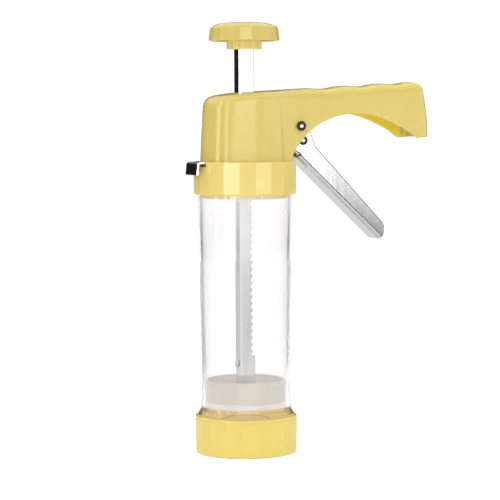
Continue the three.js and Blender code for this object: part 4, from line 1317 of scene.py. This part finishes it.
def floor():
    points = [(0, 0, 0)] + [(FLOOR_R * x, FLOOR_R * y, 0) for x, y in round_outline(96)]
    faces = [(0, i + 1, (i + 1) % 96 + 1) for i in range(96)]
    mesh = bpy.data.meshes.new("floor")
    mesh.from_pydata(points, [], faces)
    made = bpy.data.objects.new("floor", mesh)
    bpy.context.scene.collection.objects.link(made)
    paper = bpy.data.materials.new("pale_floor")
    paper.use_nodes = True
    tree = paper.node_tree
    maths = partial(maths_node, tree)
    shader = tree.nodes["Principled BSDF"]
    shader.inputs["Roughness"].default_value = 0.6
    shader.inputs["Emission Color"].default_value = (1, 1, 1, 1)
    rays = tree.nodes.new("ShaderNodeLightPath").outputs
    position = tree.nodes.new("ShaderNodeNewGeometry").outputs["Position"]
    length = tree.nodes.new("ShaderNodeVectorMath")
    length.operation = "LENGTH"
    tree.links.new(position, length.inputs[0])
    away = length.outputs["Value"]
    aside_by = maths("ABSOLUTE", dot_node(tree, position, aside), 0)

    def darkened(value, limits, kind):
        side = tree.nodes.new("ShaderNodeMapRange")
        side.inputs["From Min"].default_value, side.inputs["From Max"].default_value = limits
        tree.links.new(value, side.inputs["Value"])
        return maths("MULTIPLY", side.outputs["Result"], kind)

    mirrored = maths("SUBTRACT", rays["Is Glossy Ray"], rays["Is Transmission Ray"])
    mirrored = maths("MAXIMUM", mirrored, 0)
    through = maths("MULTIPLY", rays["Is Transmission Ray"], 0.75)
    share = maths("DIVIDE", aside_by, away)
    through = darkened(away, FLOOR_FAR, through)
    beside = darkened(aside_by, FLOOR_SIDES, mirrored)
    dark = maths("ADD", beside, darkened(share, FLOOR_WEDGE, through))
    shade = maths("SUBTRACT", 1, maths("MULTIPLY", dark, 0.8))
    shade = maths("MULTIPLY", shade, maths("SUBTRACT", 1, maths("MULTIPLY", mirrored, 0.25)))
    glow = maths("ADD", 0.1, maths("MULTIPLY", rays["Is Camera Ray"], 0.4))
    glow = maths("ADD", glow, maths("MULTIPLY", rays["Is Transmission Ray"], 0.3))
    tree.links.new(maths("MULTIPLY", glow, shade), shader.inputs["Emission Strength"])
    tree.links.new(maths("MULTIPLY", 0.9, shade), shader.inputs["Base Color"])
    made.data.materials.append(paper)
    made.location.z = -0.0002


floor()


def studio():
    """A white tent with soft boxes. Directions are degrees of turn from the camera and height."""
    world = bpy.data.worlds.new("studio")
    bpy.context.scene.world = world
    world.use_nodes = True
    tree = world.node_tree
    tree.nodes.clear()
    maths = partial(maths_node, tree)
    direction = tree.nodes.new("ShaderNodeTexCoord").outputs["Generated"]
    turn = maths("ARCTAN2", dot_node(tree, direction, aside), dot_node(tree, direction, -towards))
    turn = maths("MULTIPLY", turn, 180 / math.pi)
    split = tree.nodes.new("ShaderNodeSeparateXYZ")
    tree.links.new(direction, split.inputs[0])
    height = maths("MULTIPLY", maths("ARCSINE", split.outputs["Z"]), 180 / math.pi)

    def band(value, low, high, soft):
        up = ramp_node(tree, value, low - soft, low + soft)
        down = ramp_node(tree, value, high - soft, high + soft, 1.0, 0.0)
        return maths("MULTIPLY", up, down)

    def level_of(base, patches):
        level = maths("MULTIPLY", 1.0, base)
        for low, high, down, up, value, soft in patches:
            mask = maths("MULTIPLY", band(turn, low, high, soft), band(height, down, up, soft))
            level = maths("ADD", level, maths("MULTIPLY", mask, maths("SUBTRACT", value, level)))
        return level

    rays = tree.nodes.new("ShaderNodeLightPath").outputs
    level = level_of(*SOFT_LIGHT)
    for kind, (base, patches) in RAY_LIGHT.items():
        other = level_of(base, patches) if patches else base
        change = maths("SUBTRACT", other, level)
        level = maths("ADD", level, maths("MULTIPLY", rays[kind], change))
    lit = tree.nodes.new("ShaderNodeBackground")
    lit.inputs["Color"].default_value = (1, 1, 1, 1)
    tree.links.new(level, lit.inputs["Strength"])
    out = tree.nodes.new("ShaderNodeOutputWorld")
    tree.links.new(lit.outputs[0], out.inputs["Surface"])


# base brightness, then patches: turn from, turn to, height from, height to, brightness, softness
SOFT_LIGHT = (0.80, [(-70, 70, -95, 95, 1.12, 25), (-185, 185, 48, 95, 1.45, 12)])
RAY_LIGHT = {
    "Is Glossy Ray": (
        0.30,
        [
            (-185, 185, 50, 95, 1.1, 10),  # overhead sheet
            (-185, -36, -14, 42, 0.015, 3),  # black cards on the left and behind
            (60, 185, -14, 42, 0.06, 4),  # black cards on the right and behind
            (66, 185, 20, 60, 1.0, 4),  # pale band above the cards, right
            (-185, -66, 20, 60, 1.0, 4),  # the same, left
            (-22, 26, -14, 6, 1.3, 3),  # wall behind the camera
            (56, 116, -1.0, 14, 1.5, 1.5),  # pale wall far right
            (24, 68, -1.85, 6, 2.0, 3.2),  # wall on the right, darker towards the table
            (-52, -45, -4, 40, 5.0, 1.2),  # strip on the left
            (-79, -70, -4, 36, 5.0, 1.5),  # strip further left
            (-24, 36, 4.8, 28, 3.6, 1.0),  # sheet above the camera
            (-36, -22, -10, 4, 6.0, 1.2),  # box on the left
            (40.5, 44.0, -3.4, -0.6, 6.0, 0.4),  # box on the right
            (30, 52, 2.4, 9, 0.9, 1.0),  # greyer wall that the handle's side mirrors
            (-185, -147, -14, -2.2, 1.2, 3),  # white sweep behind, left
            (147, 185, -14, -2.2, 1.2, 3),  # white sweep behind, right
        ],
    ),
    "Is Transmission Ray": (
        1.36, [(-157, -60, -6.3, -2.6, 0.22, 2), (60, 157, -6.3, -2.6, 0.22, 2)],
    ),
    "Is Camera Ray": (1.05, []),
}
studio()

scene = bpy.context.scene
scene.view_settings.view_transform = "Standard"
scene.view_settings.look = "None"
